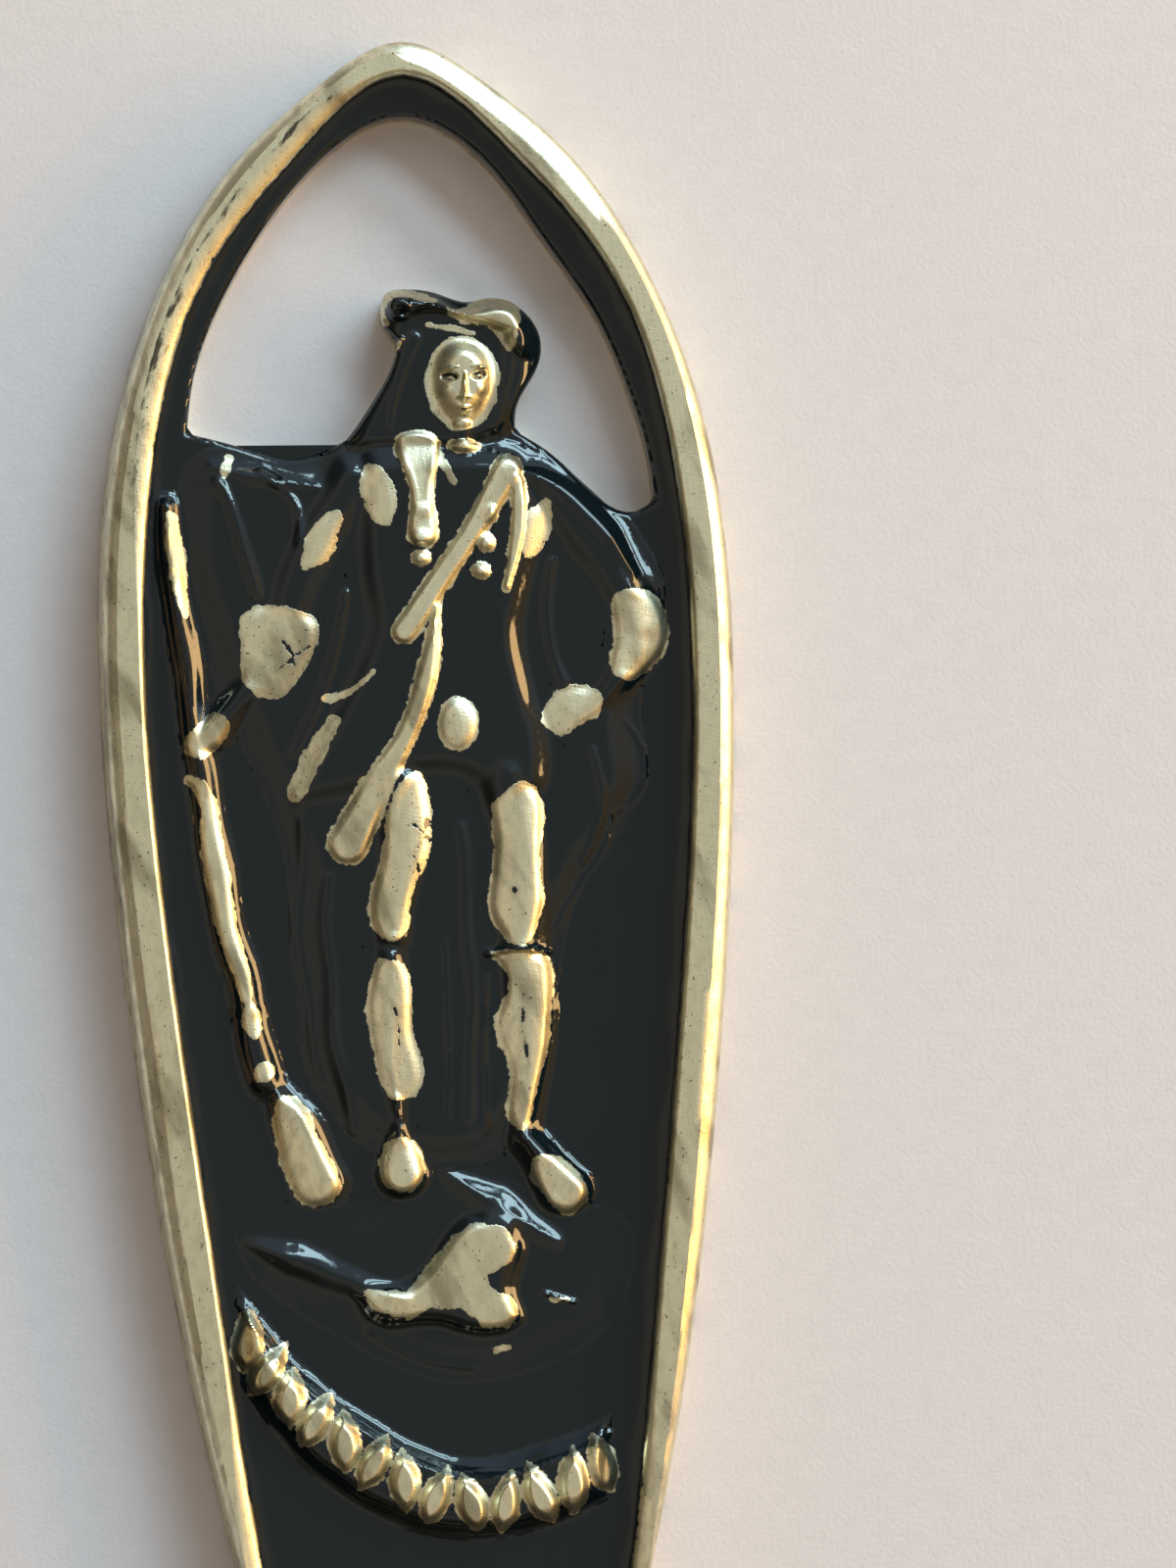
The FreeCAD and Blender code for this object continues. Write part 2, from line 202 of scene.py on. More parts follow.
FRAME_SIDE = [(0, 0), (2.05, 1.0), (4.3, 3.0), (6.2, 6.0), (7.35, 9.2), (8.0, 17.0),
              (7.45, 25.0), (6.0, 35.0), (3.7, 45.0), (2.0, 54.0)]
RECESS_SIDE = [(0, 1.05), (2.6, 2.9), (4.4, 5.0), (5.6, 7.2), (6.35, 10.0), (6.8, 15.0),
               (6.5, 21.5), (5.6, 30.0), (4.6, 38.0), (3.0, 44.5), (0, 49.5)]
WINDOW_ARCH = [(-5.6, 9.75), (-5.4, 8.4), (-4.65, 6.5), (-3.4, 4.5), (-1.95, 2.9), (0, 1.95),
               (1.9, 2.95), (3.4, 5.0), (4.7, 7.0), (5.5, 9.0), (5.95, 10.7), (6.05, 11.7)]
WINDOW_RIGHT_SHOULDER = [(6.05, 11.7), (5.5, 12.0), (4.5, 11.5), (3.5, 10.5), (2.6, 9.9)]
WINDOW_HEAD = [(2.6, 9.9), (2.65, 9.3), (3.05, 8.6), (3.3, 8.0), (3.25, 7.4), (2.95, 6.95),
               (2.5, 6.62), (2.0, 6.55), (1.5, 6.64), (0.8, 6.42), (-0.1, 6.28), (-0.55, 6.4),
               (-0.68, 6.8), (-0.6, 7.25), (-0.37, 7.5), (-0.42, 8.15), (-0.8, 8.85), (-1.6, 10.0)]
WINDOW_LEFT_SHOULDER = [(-1.6, 10.0), (-2.9, 10.45), (-4.2, 10.15), (-5.6, 9.75)]
WINDOW_SIDES = [WINDOW_ARCH, WINDOW_RIGHT_SHOULDER, WINDOW_HEAD, WINDOW_LEFT_SHOULDER]


def mirrored(side):
    """The whole curve from the lower left, round the tip, to the lower right."""
    left = [(-across, down) for across, down in reversed(side[1:])]
    return left + list(side)


frame_line = smooth_line(mirrored(FRAME_SIDE), pieces=40)
recess_line = smooth_line(mirrored(RECESS_SIDE), pieces=12)
window_line = np.vstack([smooth_line(side)[:-1] for side in WINDOW_SIDES])


def recess_distance(across, down):
    return inside_distance(across, down, recess_line)


def window_distance(across, down):
    return inside_distance(across, down, window_line)


# ---- the figure's forms

LEFT_SLEEVE = [(-1.5, 11.0), (-2.5, 12.6), (-3.5, 14.8)]
RIGHT_SLEEVE = [(3.0, 11.2), (4.5, 12.9), (5.5, 14.9)]
RIGHT_FOREARM = [(5.4, 15.4), (4.7, 16.4), (3.8, 17.0)]
MUSKET_BARREL = [(-6.2, 11.5), (-5.95, 14.3), (-5.55, 17.6), (-5.3, 19.8), (-4.55, 24.2)]
MUSKET_STOCK = [(-4.1, 25.9), (-3.5, 27.0), (-2.95, 28.5)]

# Broad enamelled forms, lowest first: (height above the floor, edge width, shape).
CLOAK = outline([(-5.4, 10.3), (-2.5, 10.4), (0.6, 10.3), (3.3, 10.3), (5.3, 12.1), (6.2, 14.0),
                 (5.5, 17.2), (5.7, 18.7), (4.7, 20.3), (3.6, 22.2), (2.9, 25.5), (1.6, 28.0),
                 (-1.6, 27.8), (-3.2, 25.5), (-3.5, 20.5), (-4.5, 17.5), (-5.6, 14.5)])
COAT = outline([(-1.4, 10.1), (1.2, 10.0), (2.9, 10.3), (3.6, 12.2), (3.0, 15.0), (3.5, 17.4),
                (3.3, 19.2), (2.0, 19.4), (0.6, 18.8), (-1.2, 19.2), (-3.4, 19.3), (-2.7, 16.8),
                (-1.7, 14.6), (-1.9, 12.4)])
BROAD_FORMS = [
    swell(0.26, 1.0, CLOAK),
    swell(0.50, 0.95, COAT),
    swell(0.42, 0.8, stroke(LEFT_SLEEVE, 0.9, 0.95, 0.85)),
    swell(0.45, 0.8, stroke(RIGHT_SLEEVE, 0.8, 0.95, 0.8)),
    swell(0.40, 0.6, stroke(RIGHT_FOREARM, 0.75, 0.6, 0.6)),
    swell(0.36, 0.5, stroke([(-3.6, 15.4), (-4.5, 16.5), (-5.2, 17.3)], 0.7, 0.5, 0.5)),
    swell(0.58, 0.9, stroke([(-0.5, 18.6), (-0.6, 20.4), (-0.85, 22.4)], 0.95, 0.95, 0.8)),
    swell(0.58, 0.9, stroke([(2.1, 18.6), (2.35, 20.4), (2.3, 22.6)], 1.0, 1.0, 0.85)),
    swell(0.52, 0.8, stroke([(-0.95, 22.9), (-1.05, 24.2), (-0.9, 27.0)], 0.7, 0.8, 0.5)),
    swell(0.52, 0.8, stroke([(2.2, 22.9), (2.35, 24.4), (2.2, 27.6)], 0.85, 0.85, 0.5)),
    swell(0.50, 0.6, stroke([(-0.9, 27.2), (-0.85, 28.3)], 0.45, 0.75)),
    swell(0.50, 0.6, stroke([(2.3, 27.6), (3.15, 28.9)], 0.5, 0.8)),
    swell(0.34, 0.5, stroke(MUSKET_BARREL, 0.42, 0.46, 0.44, 0.5, 0.5)),
    swell(0.34, 0.5, stroke([(-4.55, 24.2), (-4.2, 25.9)], 0.5, 0.55)),
    swell(0.42, 0.7, stroke(MUSKET_STOCK, 0.4, 0.65, 0.8)),
    swell(0.15, 1.2, outline([(-5.0, 29.5), (-3.6, 29.3), (-1.0, 28.7), (0.8, 28.2), (2.6, 29.1),
                              (4.8, 29.9), (4.5, 32.0), (2.4, 33.4), (-0.2, 33.6),
                              (-2.6, 32.3), (-4.7, 30.6)])),
    swell(0.50, 0.7, outline([(0.4, 29.4), (1.9, 29.3), (2.5, 30.4), (2.2, 31.4), (2.3, 32.1),
                              (1.1, 32.7), (-0.2, 32.4), (-1.9, 32.1), (-2.3, 31.1), (-0.7, 30.8)])),
]

# Hair, head and hat stand on the tongue of plate that runs up into the opening.
HAIR = outline([(-0.5, 6.9), (1.2, 6.4), (3.1, 7.0), (3.25, 8.0), (2.7, 9.7), (1.6, 10.4),
                (-0.4, 10.4), (-1.6, 10.3), (-1.0, 8.7)])
HEAD_MIDDLE = (1.3, 8.66)
HEAD = oval(HEAD_MIDDLE, 1.04, 1.3)
HEAD_FORMS = [
    swell(0.30, 0.5, HAIR),
    swell(0.34, 0.4, stroke([(0.1, 7.6), (-0.35, 8.7), (-0.5, 9.8)], 0.45, 0.4, 0.3)),
    swell(0.34, 0.4, stroke([(2.5, 7.8), (2.35, 9.0), (2.1, 9.8)], 0.45, 0.35, 0.3)),
    swell(0.36, 0.4, stroke([(1.3, 9.3), (1.3, 10.4)], 0.5, 0.42)),
    swell(0.68, 0.75, HEAD),
    swell(0.60, 0.42, outline([(-0.6, 6.4), (0.1, 6.3), (0.8, 6.4), (1.5, 6.62), (2.0, 6.52),
                               (2.6, 6.6), (3.0, 7.1), (2.9, 7.7), (2.3, 7.6), (1.3, 7.2),
                               (0.4, 7.12), (-0.3, 7.25)])),
    swell(0.60, 0.55, oval((2.72, 7.55), 0.58, 0.82, -12)),
    swell(0.66, 0.26, oval((-0.17, 6.83), 0.44, 0.42)),
]

# Narrow work added on top of whatever it crosses, in the same order of values.
SCABBARD = stroke([(0.45, 14.3), (0.14, 16.0), (-0.45, 17.5), (-1.3, 19.0), (-1.95, 20.1)],
                  0.14, 0.28, 0.3, 0.44, 0.55)
CROSS_BELT = stroke([(2.35, 10.9), (1.3, 12.5), (0.35, 13.9), (-0.4, 14.9)],
                    0.4, 0.32, 0.34, 0.36)
LEFT_LAPEL = outline([(-0.35, 9.95), (0.3, 9.82), (0.72, 10.1), (0.6, 10.8), (0.46, 11.7),
                      (0.36, 12.75), (-0.02, 12.75), (-0.2, 11.7), (-0.34, 10.8)])
RIGHT_LAPEL = stroke([(2.55, 11.2), (2.5, 12.4), (2.2, 13.8)], 0.2, 0.2, 0.12)
NECKCLOTH = oval((1.34, 10.28), 0.46, 0.2, 4)
POUCH = oval((0.9, 17.2), 0.5, 0.7)
BUTTONS = [(0.15, 11.85), (0.12, 12.5), (0.1, 13.05), (1.8, 12.0), (1.75, 12.65), (1.6, 13.35)]
NARROW_FORMS = [
    swell(0.20, 0.28, SCABBARD),
    swell(0.16, 0.22, CROSS_BELT),
    swell(0.14, 0.2, LEFT_LAPEL),
    swell(0.12, 0.14, RIGHT_LAPEL),
    swell(0.22, 0.45, POUCH),
    swell(0.16, 0.12, stroke([(1.45, 22.95), (2.2, 22.8), (3.0, 22.95)], 0.13)),
    swell(0.12, 0.1, stroke([(-0.9, 8.6), (-0.55, 8.1), (-0.2, 7.6)], 0.1)),
    swell(0.16, 0.16, NECKCLOTH),
    swell(-0.26, 0.2, oval((-0.12, 6.93), 0.24, 0.2)),
    # folds of the cloak
    swell(0.05, 0.07, stroke([(5.1, 17.2), (5.7, 18.5), (5.4, 19.2), (4.8, 19.5)], 0.06)),
    swell(0.05, 0.07, stroke([(4.7, 19.5), (4.6, 20.2), (3.6, 21.8), (3.3, 22.3)], 0.06)),
    swell(0.06, 0.18, stroke([(4.3, 17.9), (4.5, 19.0), (3.9, 20.8)], 0.16)),
    swell(0.08, 0.4, stroke([(0.9, 19.8), (1.0, 23.0), (0.85, 27.0)], 0.3)),
    swell(0.05, 0.2, stroke([(0.4, 22.6), (0.35, 27.0)], 0.14)),
    swell(0.05, 0.16, stroke([(1.35, 23.5), (1.3, 27.4)], 0.12)),
    swell(0.09, 0.4, stroke([(-2.4, 21.0), (-2.5, 24.0), (-2.0, 27.3)], 0.3)),
    swell(0.06, 0.3, stroke([(-3.0, 19.5), (-3.2, 23.0), (-2.8, 26.0)], 0.2)),
    swell(0.10, 0.3, stroke([(-4.9, 11.0), (-4.3, 12.6), (-4.0, 13.8)], 0.25)),
    swell(0.10, 0.3, stroke([(-3.8, 10.8), (-3.1, 11.6), (-2.9, 12.6)], 0.22)),
    swell(0.08, 0.3, stroke([(3.4, 13.2), (3.2, 15.0), (3.6, 16.2)], 0.24)),
    swell(0.09, 0.25, stroke([(-1.8, 13.8), (-2.2, 15.6), (-3.2, 17.8)], 0.2)),
    swell(0.03, 0.4, stroke([(1.9, 14.4), (2.3, 16.4), (2.1, 18.4)], 0.4)),
    swell(0.13, 0.4, stroke([(-5.0, 10.6), (-3.9, 10.95), (-2.5, 11.2)], 0.2, 0.38, 0.2)),
    swell(0.13, 0.4, stroke([(2.5, 10.9), (3.6, 11.4), (4.7, 12.5), (5.4, 13.6)],
                            0.2, 0.38, 0.38, 0.2)),
    # ridges in the ground
    swell(0.20, 0.6, stroke([(0.2, 28.4), (1.4, 29.2), (3.0, 30.2)], 0.3, 0.6, 0.3)),
    swell(0.19, 0.55, stroke([(-4.7, 29.9), (-3.5, 30.4), (-2.3, 30.9), (-0.8, 31.5)],
                             0.25, 0.55, 0.5, 0.3)),
    swell(0.08, 0.3, stroke([(-1.8, 32.2), (-0.6, 33.0), (0.8, 33.3)], 0.2)),
    swell(0.12, 0.2, stroke([(2.6, 31.4), (3.4, 31.7)], 0.14)),
]
for place in BUTTONS:
    NARROW_FORMS.append(swell(0.16, 0.24, oval(place, 0.27, 0.27)))

# The banner: a ribbon that swells along its upper edge.
BANNER_TOP = [(-5.0, 31.0), (-4.3, 32.0), (-3.2, 33.2), (-2.0, 34.2), (-1.0, 34.85), (0.1, 35.35),
              (1.3, 35.5), (2.5, 35.3), (3.5, 34.95), (4.2, 34.5)]
BANNER_FOOT = [(4.1, 36.7), (1.2, 37.6), (-1.4, 37.1), (-3.6, 35.5), (-5.0, 33.5)]
banner_top_line = smooth_line(BANNER_TOP)
banner_line = np.vstack([banner_top_line, smooth_line(BANNER_FOOT)])
BANNER = outline(banner_line, closed_corners=True)
banner_lip = stroke([(across, down + 0.5) for across, down in BANNER_TOP], 0.1)
BROAD_FORMS.append(swell(0.46, 0.62, BANNER))

# The ornament on the banner: a row of small leaves, the generic stand-in for its raised words.
LEAF_COUNT = 13
LEAF_END_MARGIN = 0.35    # in steps from one leaf to the next
LEAF_DROP = 1.15          # from the upper edge of the banner to the middle of a leaf
LEAF_FOLLOWS = 0.5        # how much of the edge's slope a leaf follows
LEAF_TURNS = (-12, 16)    # and how far leaves lean to one side and the other in turn
LEAF_SIDE = [(0, -0.85), (0.27, -0.5), (0.4, -0.1), (0.41, 0.2), (0.28, 0.55), (0, 0.82)]


def leaf(across, down, lean):
    """A pointed leaf, broadest a little below its middle."""
    side = smooth_line(LEAF_SIDE, pieces=4)
    turn = math.radians(lean)
    line = np.vstack([side, side[-2:0:-1] * (-1, 1)])
    line = np.stack([across + line[:, 0] * math.cos(turn) - line[:, 1] * math.sin(turn),
                     down + line[:, 0] * math.sin(turn) + line[:, 1] * math.cos(turn)], axis=-1)
    return outline(line, closed_corners=True)


def leaf_row():
    """The leaves, spread evenly along the upper edge of the banner."""
    edge_across, edge_down = banner_top_line.T
    travelled = distance_along(banner_top_line)
    step = travelled[-1] / LEAF_COUNT
    leaves = []
    for number in range(LEAF_COUNT):
        share = (number + LEAF_END_MARGIN) / (LEAF_COUNT - 1 + 2 * LEAF_END_MARGIN)
        where = travelled[-1] * share
        across = float(np.interp(where, travelled, edge_across))
        down = float(np.interp(where, travelled, edge_down))
        ahead = float(np.interp(where + step, travelled, edge_down))
        slope = LEAF_FOLLOWS * math.degrees(math.atan2(ahead - down, step))
        leaves.append(leaf(across, down + LEAF_DROP, slope + LEAF_TURNS[number % 2]))
    return leaves


LEAVES = leaf_row()


def leaf_distance(across, down):
    return np.maximum.reduce([shape(across, down) for shape in LEAVES])


NARROW_FORMS.append(swell(0.26, 0.27, leaf_distance))
NARROW_FORMS.append(swell(0.06, 0.08, banner_lip))

# ---- buffed places

# Where buffing has cut through the enamel to bright metal. Each is a shape, and the metal in it is
# worn towards a plane, apart from the small round work.
BUFFED = {
    "left_chest": oval((-0.95, 11.4), 0.42, 0.82, -8),
    "left_sleeve": outline([(-1.9, 11.8), (-1.95, 12.5), (-2.3, 13.1), (-2.75, 13.2), (-2.7, 12.5),
                            (-2.35, 12.0)]),
    "left_lapel": LEFT_LAPEL,
    "throat": stroke([(0.55, 10.3), (0.95, 11.2)], 0.14, 0.1),
    "cross_belt": CROSS_BELT,
    "right_lapel": RIGHT_LAPEL,
    "right_sleeve": outline([(3.25, 11.7), (3.35, 12.3), (3.1, 12.9), (2.75, 13.05),
                             (2.6, 12.4), (2.85, 11.9)]),
    "barrel_top": stroke([(-6.08, 11.8), (-5.95, 13.0), (-5.8, 14.25)], 0.16, 0.25, 0.1),
    "left_cuff": outline([(-4.4, 14.3), (-3.9, 14.1), (-3.1, 14.2), (-2.6, 14.5), (-2.65, 15.3),
                          (-3.0, 15.9), (-3.7, 16.4), (-4.3, 16.1), (-4.45, 15.2)]),
    "right_elbow": outline([(4.95, 14.15), (5.7, 14.05), (6.25, 14.6), (6.3, 15.3), (5.85, 15.95),
                            (5.3, 16.25), (4.8, 16.0), (4.85, 15.1)]),
    "right_hand": outline([(3.3, 16.5), (3.9, 16.3), (4.45, 16.5), (4.45, 17.0), (3.9, 17.3),
                           (3.5, 17.6), (3.1, 17.4)]),
    "pouch": POUCH,
    "left_hand": outline([(-5.9, 17.6), (-5.5, 17.05), (-4.9, 16.8), (-4.75, 17.1), (-5.0, 17.5),
                          (-5.5, 17.85)]),
    "coat_tail": stroke([(-2.2, 17.0), (-2.7, 17.9), (-3.15, 18.8)], 0.18, 0.27, 0.24),
    "coat_edge": stroke([(-2.35, 16.4), (-1.6, 16.2), (-1.2, 15.9)], 0.12, 0.06),
    "scabbard": SCABBARD,
    "left_thigh": outline([(-0.1, 18.3), (0.12, 20.0), (-0.1, 20.9), (-0.35, 21.6), (-0.45, 22.3),
                           (-0.85, 22.55), (-1.3, 22.3), (-1.45, 21.7), (-1.1, 20.3), (-0.7, 18.9)]),
    "right_thigh": outline([(2.1, 18.9), (2.6, 18.7), (3.0, 19.1), (2.95, 20.0), (2.85, 20.9),
                            (2.95, 21.5), (2.8, 22.1), (2.3, 22.75), (1.7, 22.2), (1.6, 21.0),
                            (1.65, 19.9), (1.8, 19.2)]),
    "left_gaiter": outline([(-1.25, 23.0), (-0.8, 23.05), (-0.55, 23.7), (-0.4, 25.0),
                            (-0.45, 26.3), (-0.9, 26.5), (-1.5, 25.3), (-1.65, 24.2), (-1.5, 23.5)]),
    "right_gaiter": outline([(1.5, 22.95), (2.2, 22.85), (2.95, 23.0), (3.0, 24.4), (2.85, 25.5),
                             (2.6, 26.5), (2.2, 27.4), (1.9, 27.2), (1.85, 26.0), (1.6, 24.5),
                             (1.9, 23.5)]),
    "left_shoe": oval((-0.85, 28.1), 0.6, 0.65, 10),
    "right_shoe": outline([(2.4, 28.1), (3.0, 28.0), (3.6, 28.6), (3.7, 29.2), (3.3, 29.6),
                           (2.7, 29.1), (2.3, 28.6)]),
    "barrel": stroke([(-5.78, 18.4), (-5.45, 18.75), (-5.28, 20.0), (-4.95, 22.0), (-4.65, 23.8)],
                     0.14, 0.22, 0.3, 0.3, 0.18),
    "lock": oval((-4.45, 24.4), 0.26, 0.5, -10),
    "frizzen": oval((-4.2, 25.7), 0.3, 0.22, -35),
    "stock": outline([(-3.85, 26.35), (-3.45, 26.35), (-3.0, 27.2), (-2.55, 28.0), (-2.4, 28.7),
                      (-2.7, 29.05), (-3.2, 29.15), (-3.6, 28.8), (-3.9, 28.1), (-4.0, 27.2)]),
    "rock": outline([(0.45, 29.95), (0.9, 29.62), (1.6, 29.72), (2.0, 30.15), (1.9, 30.6),
                     (1.3, 30.95), (1.3, 31.2), (1.8, 31.5), (1.95, 31.95), (1.6, 32.3),
                     (1.05, 32.2), (0.5, 31.75), (-0.25, 31.72), (-0.8, 32.0), (-1.75, 31.65),
                     (-1.95, 31.15), (-0.75, 31.3), (-0.15, 30.75)], closed_corners=True),
    "ribbon": stroke([(-0.85, 8.55), (-0.55, 8.1), (-0.25, 7.7)], 0.05),
    "hat_curl": stroke([(-0.5, 7.2), (-0.62, 6.78), (-0.3, 6.47), (0.3, 6.5), (0.75, 6.6)],
                       0.07, 0.12, 0.13, 0.13, 0.05),
    "hat_front": outline([(0.95, 6.72), (1.35, 6.78), (1.75, 6.5), (2.25, 6.46), (2.8, 6.75),
                          (2.78, 7.3), (2.45, 7.95), (2.2, 7.55), (1.9, 7.2), (1.35, 7.12)]),
    "hat_brim": stroke([(0.45, 7.22), (1.05, 7.3), (1.6, 7.42)], 0.04, 0.09, 0.06),
    "neckcloth": NECKCLOTH,
    "leaves": leaf_distance,
    "specks": oval((-4.65, 10.6), 0.12, 0.3, 20),
    "ground_ridge": stroke([(1.3, 32.85), (1.7, 32.8)], 0.08),
    "ground_speck": stroke([(2.8, 31.6), (3.2, 31.6)], 0.07),
}
for number, place in enumerate(BUTTONS):
    BUFFED["button_%d" % number] = oval(place, 0.25, 0.25)

# Fine cracks that keep their enamel inside buffed places.
CRACKS = [
    [(-3.45, 15.0), (-3.2, 15.35), (-3.05, 15.9)], [(-2.8, 15.15), (-3.2, 15.4), (-3.6, 15.7)],
    [(-0.3, 19.6), (0.0, 19.9), (0.1, 20.2)], [(0.05, 19.5), (-0.1, 19.95), (-0.3, 20.3)],
    [(-0.35, 20.4), (-0.15, 20.9), (-0.3, 21.6)], [(-0.95, 24.3), (-0.8, 24.9), (-0.85, 25.8)],
    [(2.3, 24.0), (2.25, 24.9), (2.35, 25.8)], [(2.2, 21.3), (2.45, 21.9)],
]
CRACK_HALF_WIDTH = 0.028

# The face is this workshop's own: a calm front view on even proportions, eyes half way down the
# skull, the foot of the nose and the mouth a third and a half of the way from there to the chin.
FACE_HALF_WIDTH, FACE_HALF_HEIGHT = 0.95, 1.2
EYE_LEVEL, NOSE_FOOT, MOUTH_LEVEL, CHIN_LEVEL = -0.06, 0.36, 0.58, 0.86
EYE_SPREAD = 0.38


def face_oval(across, down, half_across, half_down, tilt=0):
    """An oval placed in shares of the face's half width and half height."""
    middle = (HEAD_MIDDLE[0] + across * FACE_HALF_WIDTH, HEAD_MIDDLE[1] + down * FACE_HALF_HEIGHT)
    return oval(middle, half_across * FACE_HALF_WIDTH, half_down * FACE_HALF_HEIGHT, tilt)


def face_pair(across, down, half_across, half_down, tilt=0):
    return [face_oval(side * across, down, half_across, half_down, side * tilt)
            for side in (-1, 1)]


EYE_HOLLOWS = face_pair(EYE_SPREAD, EYE_LEVEL, 0.25, 0.13, -6)
EYES = face_pair(EYE_SPREAD, EYE_LEVEL + 0.02, 0.15, 0.06, -4)
BROWS = face_pair(EYE_SPREAD, EYE_LEVEL - 0.17, 0.27, 0.05, 5)
NOSE = stroke([(HEAD_MIDDLE[0], HEAD_MIDDLE[1] + (EYE_LEVEL - 0.05) * FACE_HALF_HEIGHT),
               (HEAD_MIDDLE[0], HEAD_MIDDLE[1] + NOSE_FOOT * FACE_HALF_HEIGHT)], 0.06, 0.15)
NOSTRILS = face_pair(0.13, NOSE_FOOT, 0.1, 0.06)
CHEEKS = face_pair(0.5, 0.22, 0.24, 0.17)
UPPER_LIP = face_oval(0, MOUTH_LEVEL - 0.035, 0.25, 0.045)
LOWER_LIP = face_oval(0, MOUTH_LEVEL + 0.055, 0.2, 0.05)
LIP_LINE = face_oval(0, MOUTH_LEVEL + 0.008, 0.27, 0.02)
CHIN = face_oval(0, CHIN_LEVEL, 0.3, 0.12)
FACE_FORMS = [swell(height, width, shape) for height, width, shapes in [
    (-0.14, 0.12, EYE_HOLLOWS), (0.10, 0.06, EYES), (0.07, 0.06, BROWS), (0.20, 0.14, [NOSE]),
    (0.06, 0.06, NOSTRILS), (0.05, 0.18, CHEEKS), (0.06, 0.05, [UPPER_LIP, LOWER_LIP]),
    (-0.05, 0.02, [LIP_LINE]), (0.07, 0.12, [CHIN]),
] for shape in shapes]
BUFFED["face"] = oval((HEAD_MIDDLE[0], HEAD_MIDDLE[1] + 0.04), 0.92, 1.18)


FULL = 0.3             # a distance that is well clear of the border, either way
HOLLOW_MARGIN = 0.07   # buffed metal reaches this far into the hollows of the eyes
LINE_MARGIN = 0.02     # and enamel stands this far inside the eyes and the line of the lips


def buffed_distance(across, down):
    """How far each place is inside the bright metal, negative where enamel stays."""
    across, down = hand_worked(across, down)
    bright = np.maximum.reduce([shape(across, down) for shape in BUFFED.values()])
    for shape in EYE_HOLLOWS:
        bright = np.minimum(bright, np.maximum(HOLLOW_MARGIN - shape(across, down), -FULL))
    for shape in EYES:
        bright = np.maximum(bright, shape(across, down) - LINE_MARGIN)
    bright = np.minimum(bright, LINE_MARGIN - LIP_LINE(across, down) * 3)
    for path in CRACKS:
        crack = stroke_distance(across, down, path, [CRACK_HALF_WIDTH] * len(path))
        bright = np.minimum(bright, -crack)
    return bright


# ---- the surface of the relief

MENISCUS_RISE = 0.10     # how far enamel creeps up the inner wall of the frame
MENISCUS_REACH = 0.16
CREASE_FILL = 0.16       # how wide a crease the enamel bridges
CREASE_DEPTH = 0.05      # how far below the floor a form's outline runs
ROUNDNESS = 0.45         # 1 gives a form the side of a half round, 0 a side that sweeps out
FACET_LIFT = 0.02        # how proud a buffed facet stands of the enamel round it
FACET_FLATNESS = 0.68    # 1 wears a facet into its plane, 0 leaves it as it was cast
FACET_EDGE = 0.3         # how far in from its border a facet reaches that flatness
ROUND_WORK = ("face", "leaves", "button", "hat", "neckcloth")   # too small for the buff to flatten
EDGE_ROLL = 0.14         # the roll of enamel over the edge of the opening


def swept_up(share):
    """A round-shouldered rise from 0 to 1."""
    share = np.clip(share, 0, 1)
    return 1 - (1 - share) ** 2


def wavering(across, down, some_waves):
    return sum(size * np.sin(fx * across + fy * down + turn)
               for fx, fy, turn, size in some_waves)


def hand_worked(across, down):
    """Where each place would be if the modeller's hand had drawn every line true."""
    return (across + wavering(across, down, WAVERS[::2]),
            down + wavering(across, down, WAVERS[1::2]))


def cast_height(across, down):
    """The height of the relief above the paper before it is buffed, in millimetres."""
    across, down = hand_worked(across, down)
    height = np.full(across.shape, FLOOR)
    wall_gap = np.maximum(recess_distance(across, down), 0)
    height += MENISCUS_RISE * np.exp(-wall_gap / MENISCUS_REACH)
    for forms in (BROAD_FORMS, HEAD_FORMS):
        for top, width, shape in forms:
            inside = shape(across, down)
            share = ROUNDNESS * swept_up(inside / width) + (1 - ROUNDNESS) * rise(inside / width)
            raised = FLOOR - CREASE_DEPTH + (top + CREASE_DEPTH) * share
            height = np.where(inside > 0, soft_max(height, raised, CREASE_FILL), height)
    for forms in (NARROW_FORMS, FACE_FORMS):
        for top, width, shape in forms:
            height += top * rise(shape(across, down) / width)
    for fx, fy, turn, size in RIPPLES:
        height += size * np.sin(fx * across + fy * down + turn)
    return height


FACET_PROBE = 0.09                              # spacing of the places each plane is fitted to
RELIEF_ACROSS, RELIEF_DOWN = (-7, 7), (1, 40)   # the part of the handle that holds the relief


def buffed_facets():
    """Each buffed place as its shape and the plane that the buff wore it towards."""
    x, y = np.meshgrid(np.arange(*RELIEF_ACROSS, FACET_PROBE), np.arange(*RELIEF_DOWN, FACET_PROBE))
    facets = []
    for name, shape in BUFFED.items():
        found = shape(x, y) > 0
        if name.startswith(ROUND_WORK) or found.sum() < 4:
            continue
        across, down = x[found], y[found]
        terms = np.stack([across, down, np.ones(len(across))], axis=-1)
        plane = np.linalg.lstsq(terms, cast_height(across, down), rcond=None)[0]
        facets.append((shape, plane))
    return facets


def surface_height(across, down):
    """The height of the finished relief: the casting with its high spots worn flat."""
    height = cast_height(across, down)
    wide, long = hand_worked(across, down)
    for shape, (tilt_across, tilt_down, level) in FACETS:
        worn = FACET_FLATNESS * rise(shape(wide, long) / FACET_EDGE)
        plane = tilt_across * across + tilt_down * down + level + FACET_LIFT
        height += (plane - height) * worn
    edge = np.clip(-window_distance(across, down), 0, EDGE_ROLL) / EDGE_ROLL
    return height - EDGE_ROLL * (1 - np.sqrt(1 - (1 - edge) ** 2))


# Slow ripples left by hand modelling and by enamel that pooled.
ripple_dice = np.random.default_rng(7)


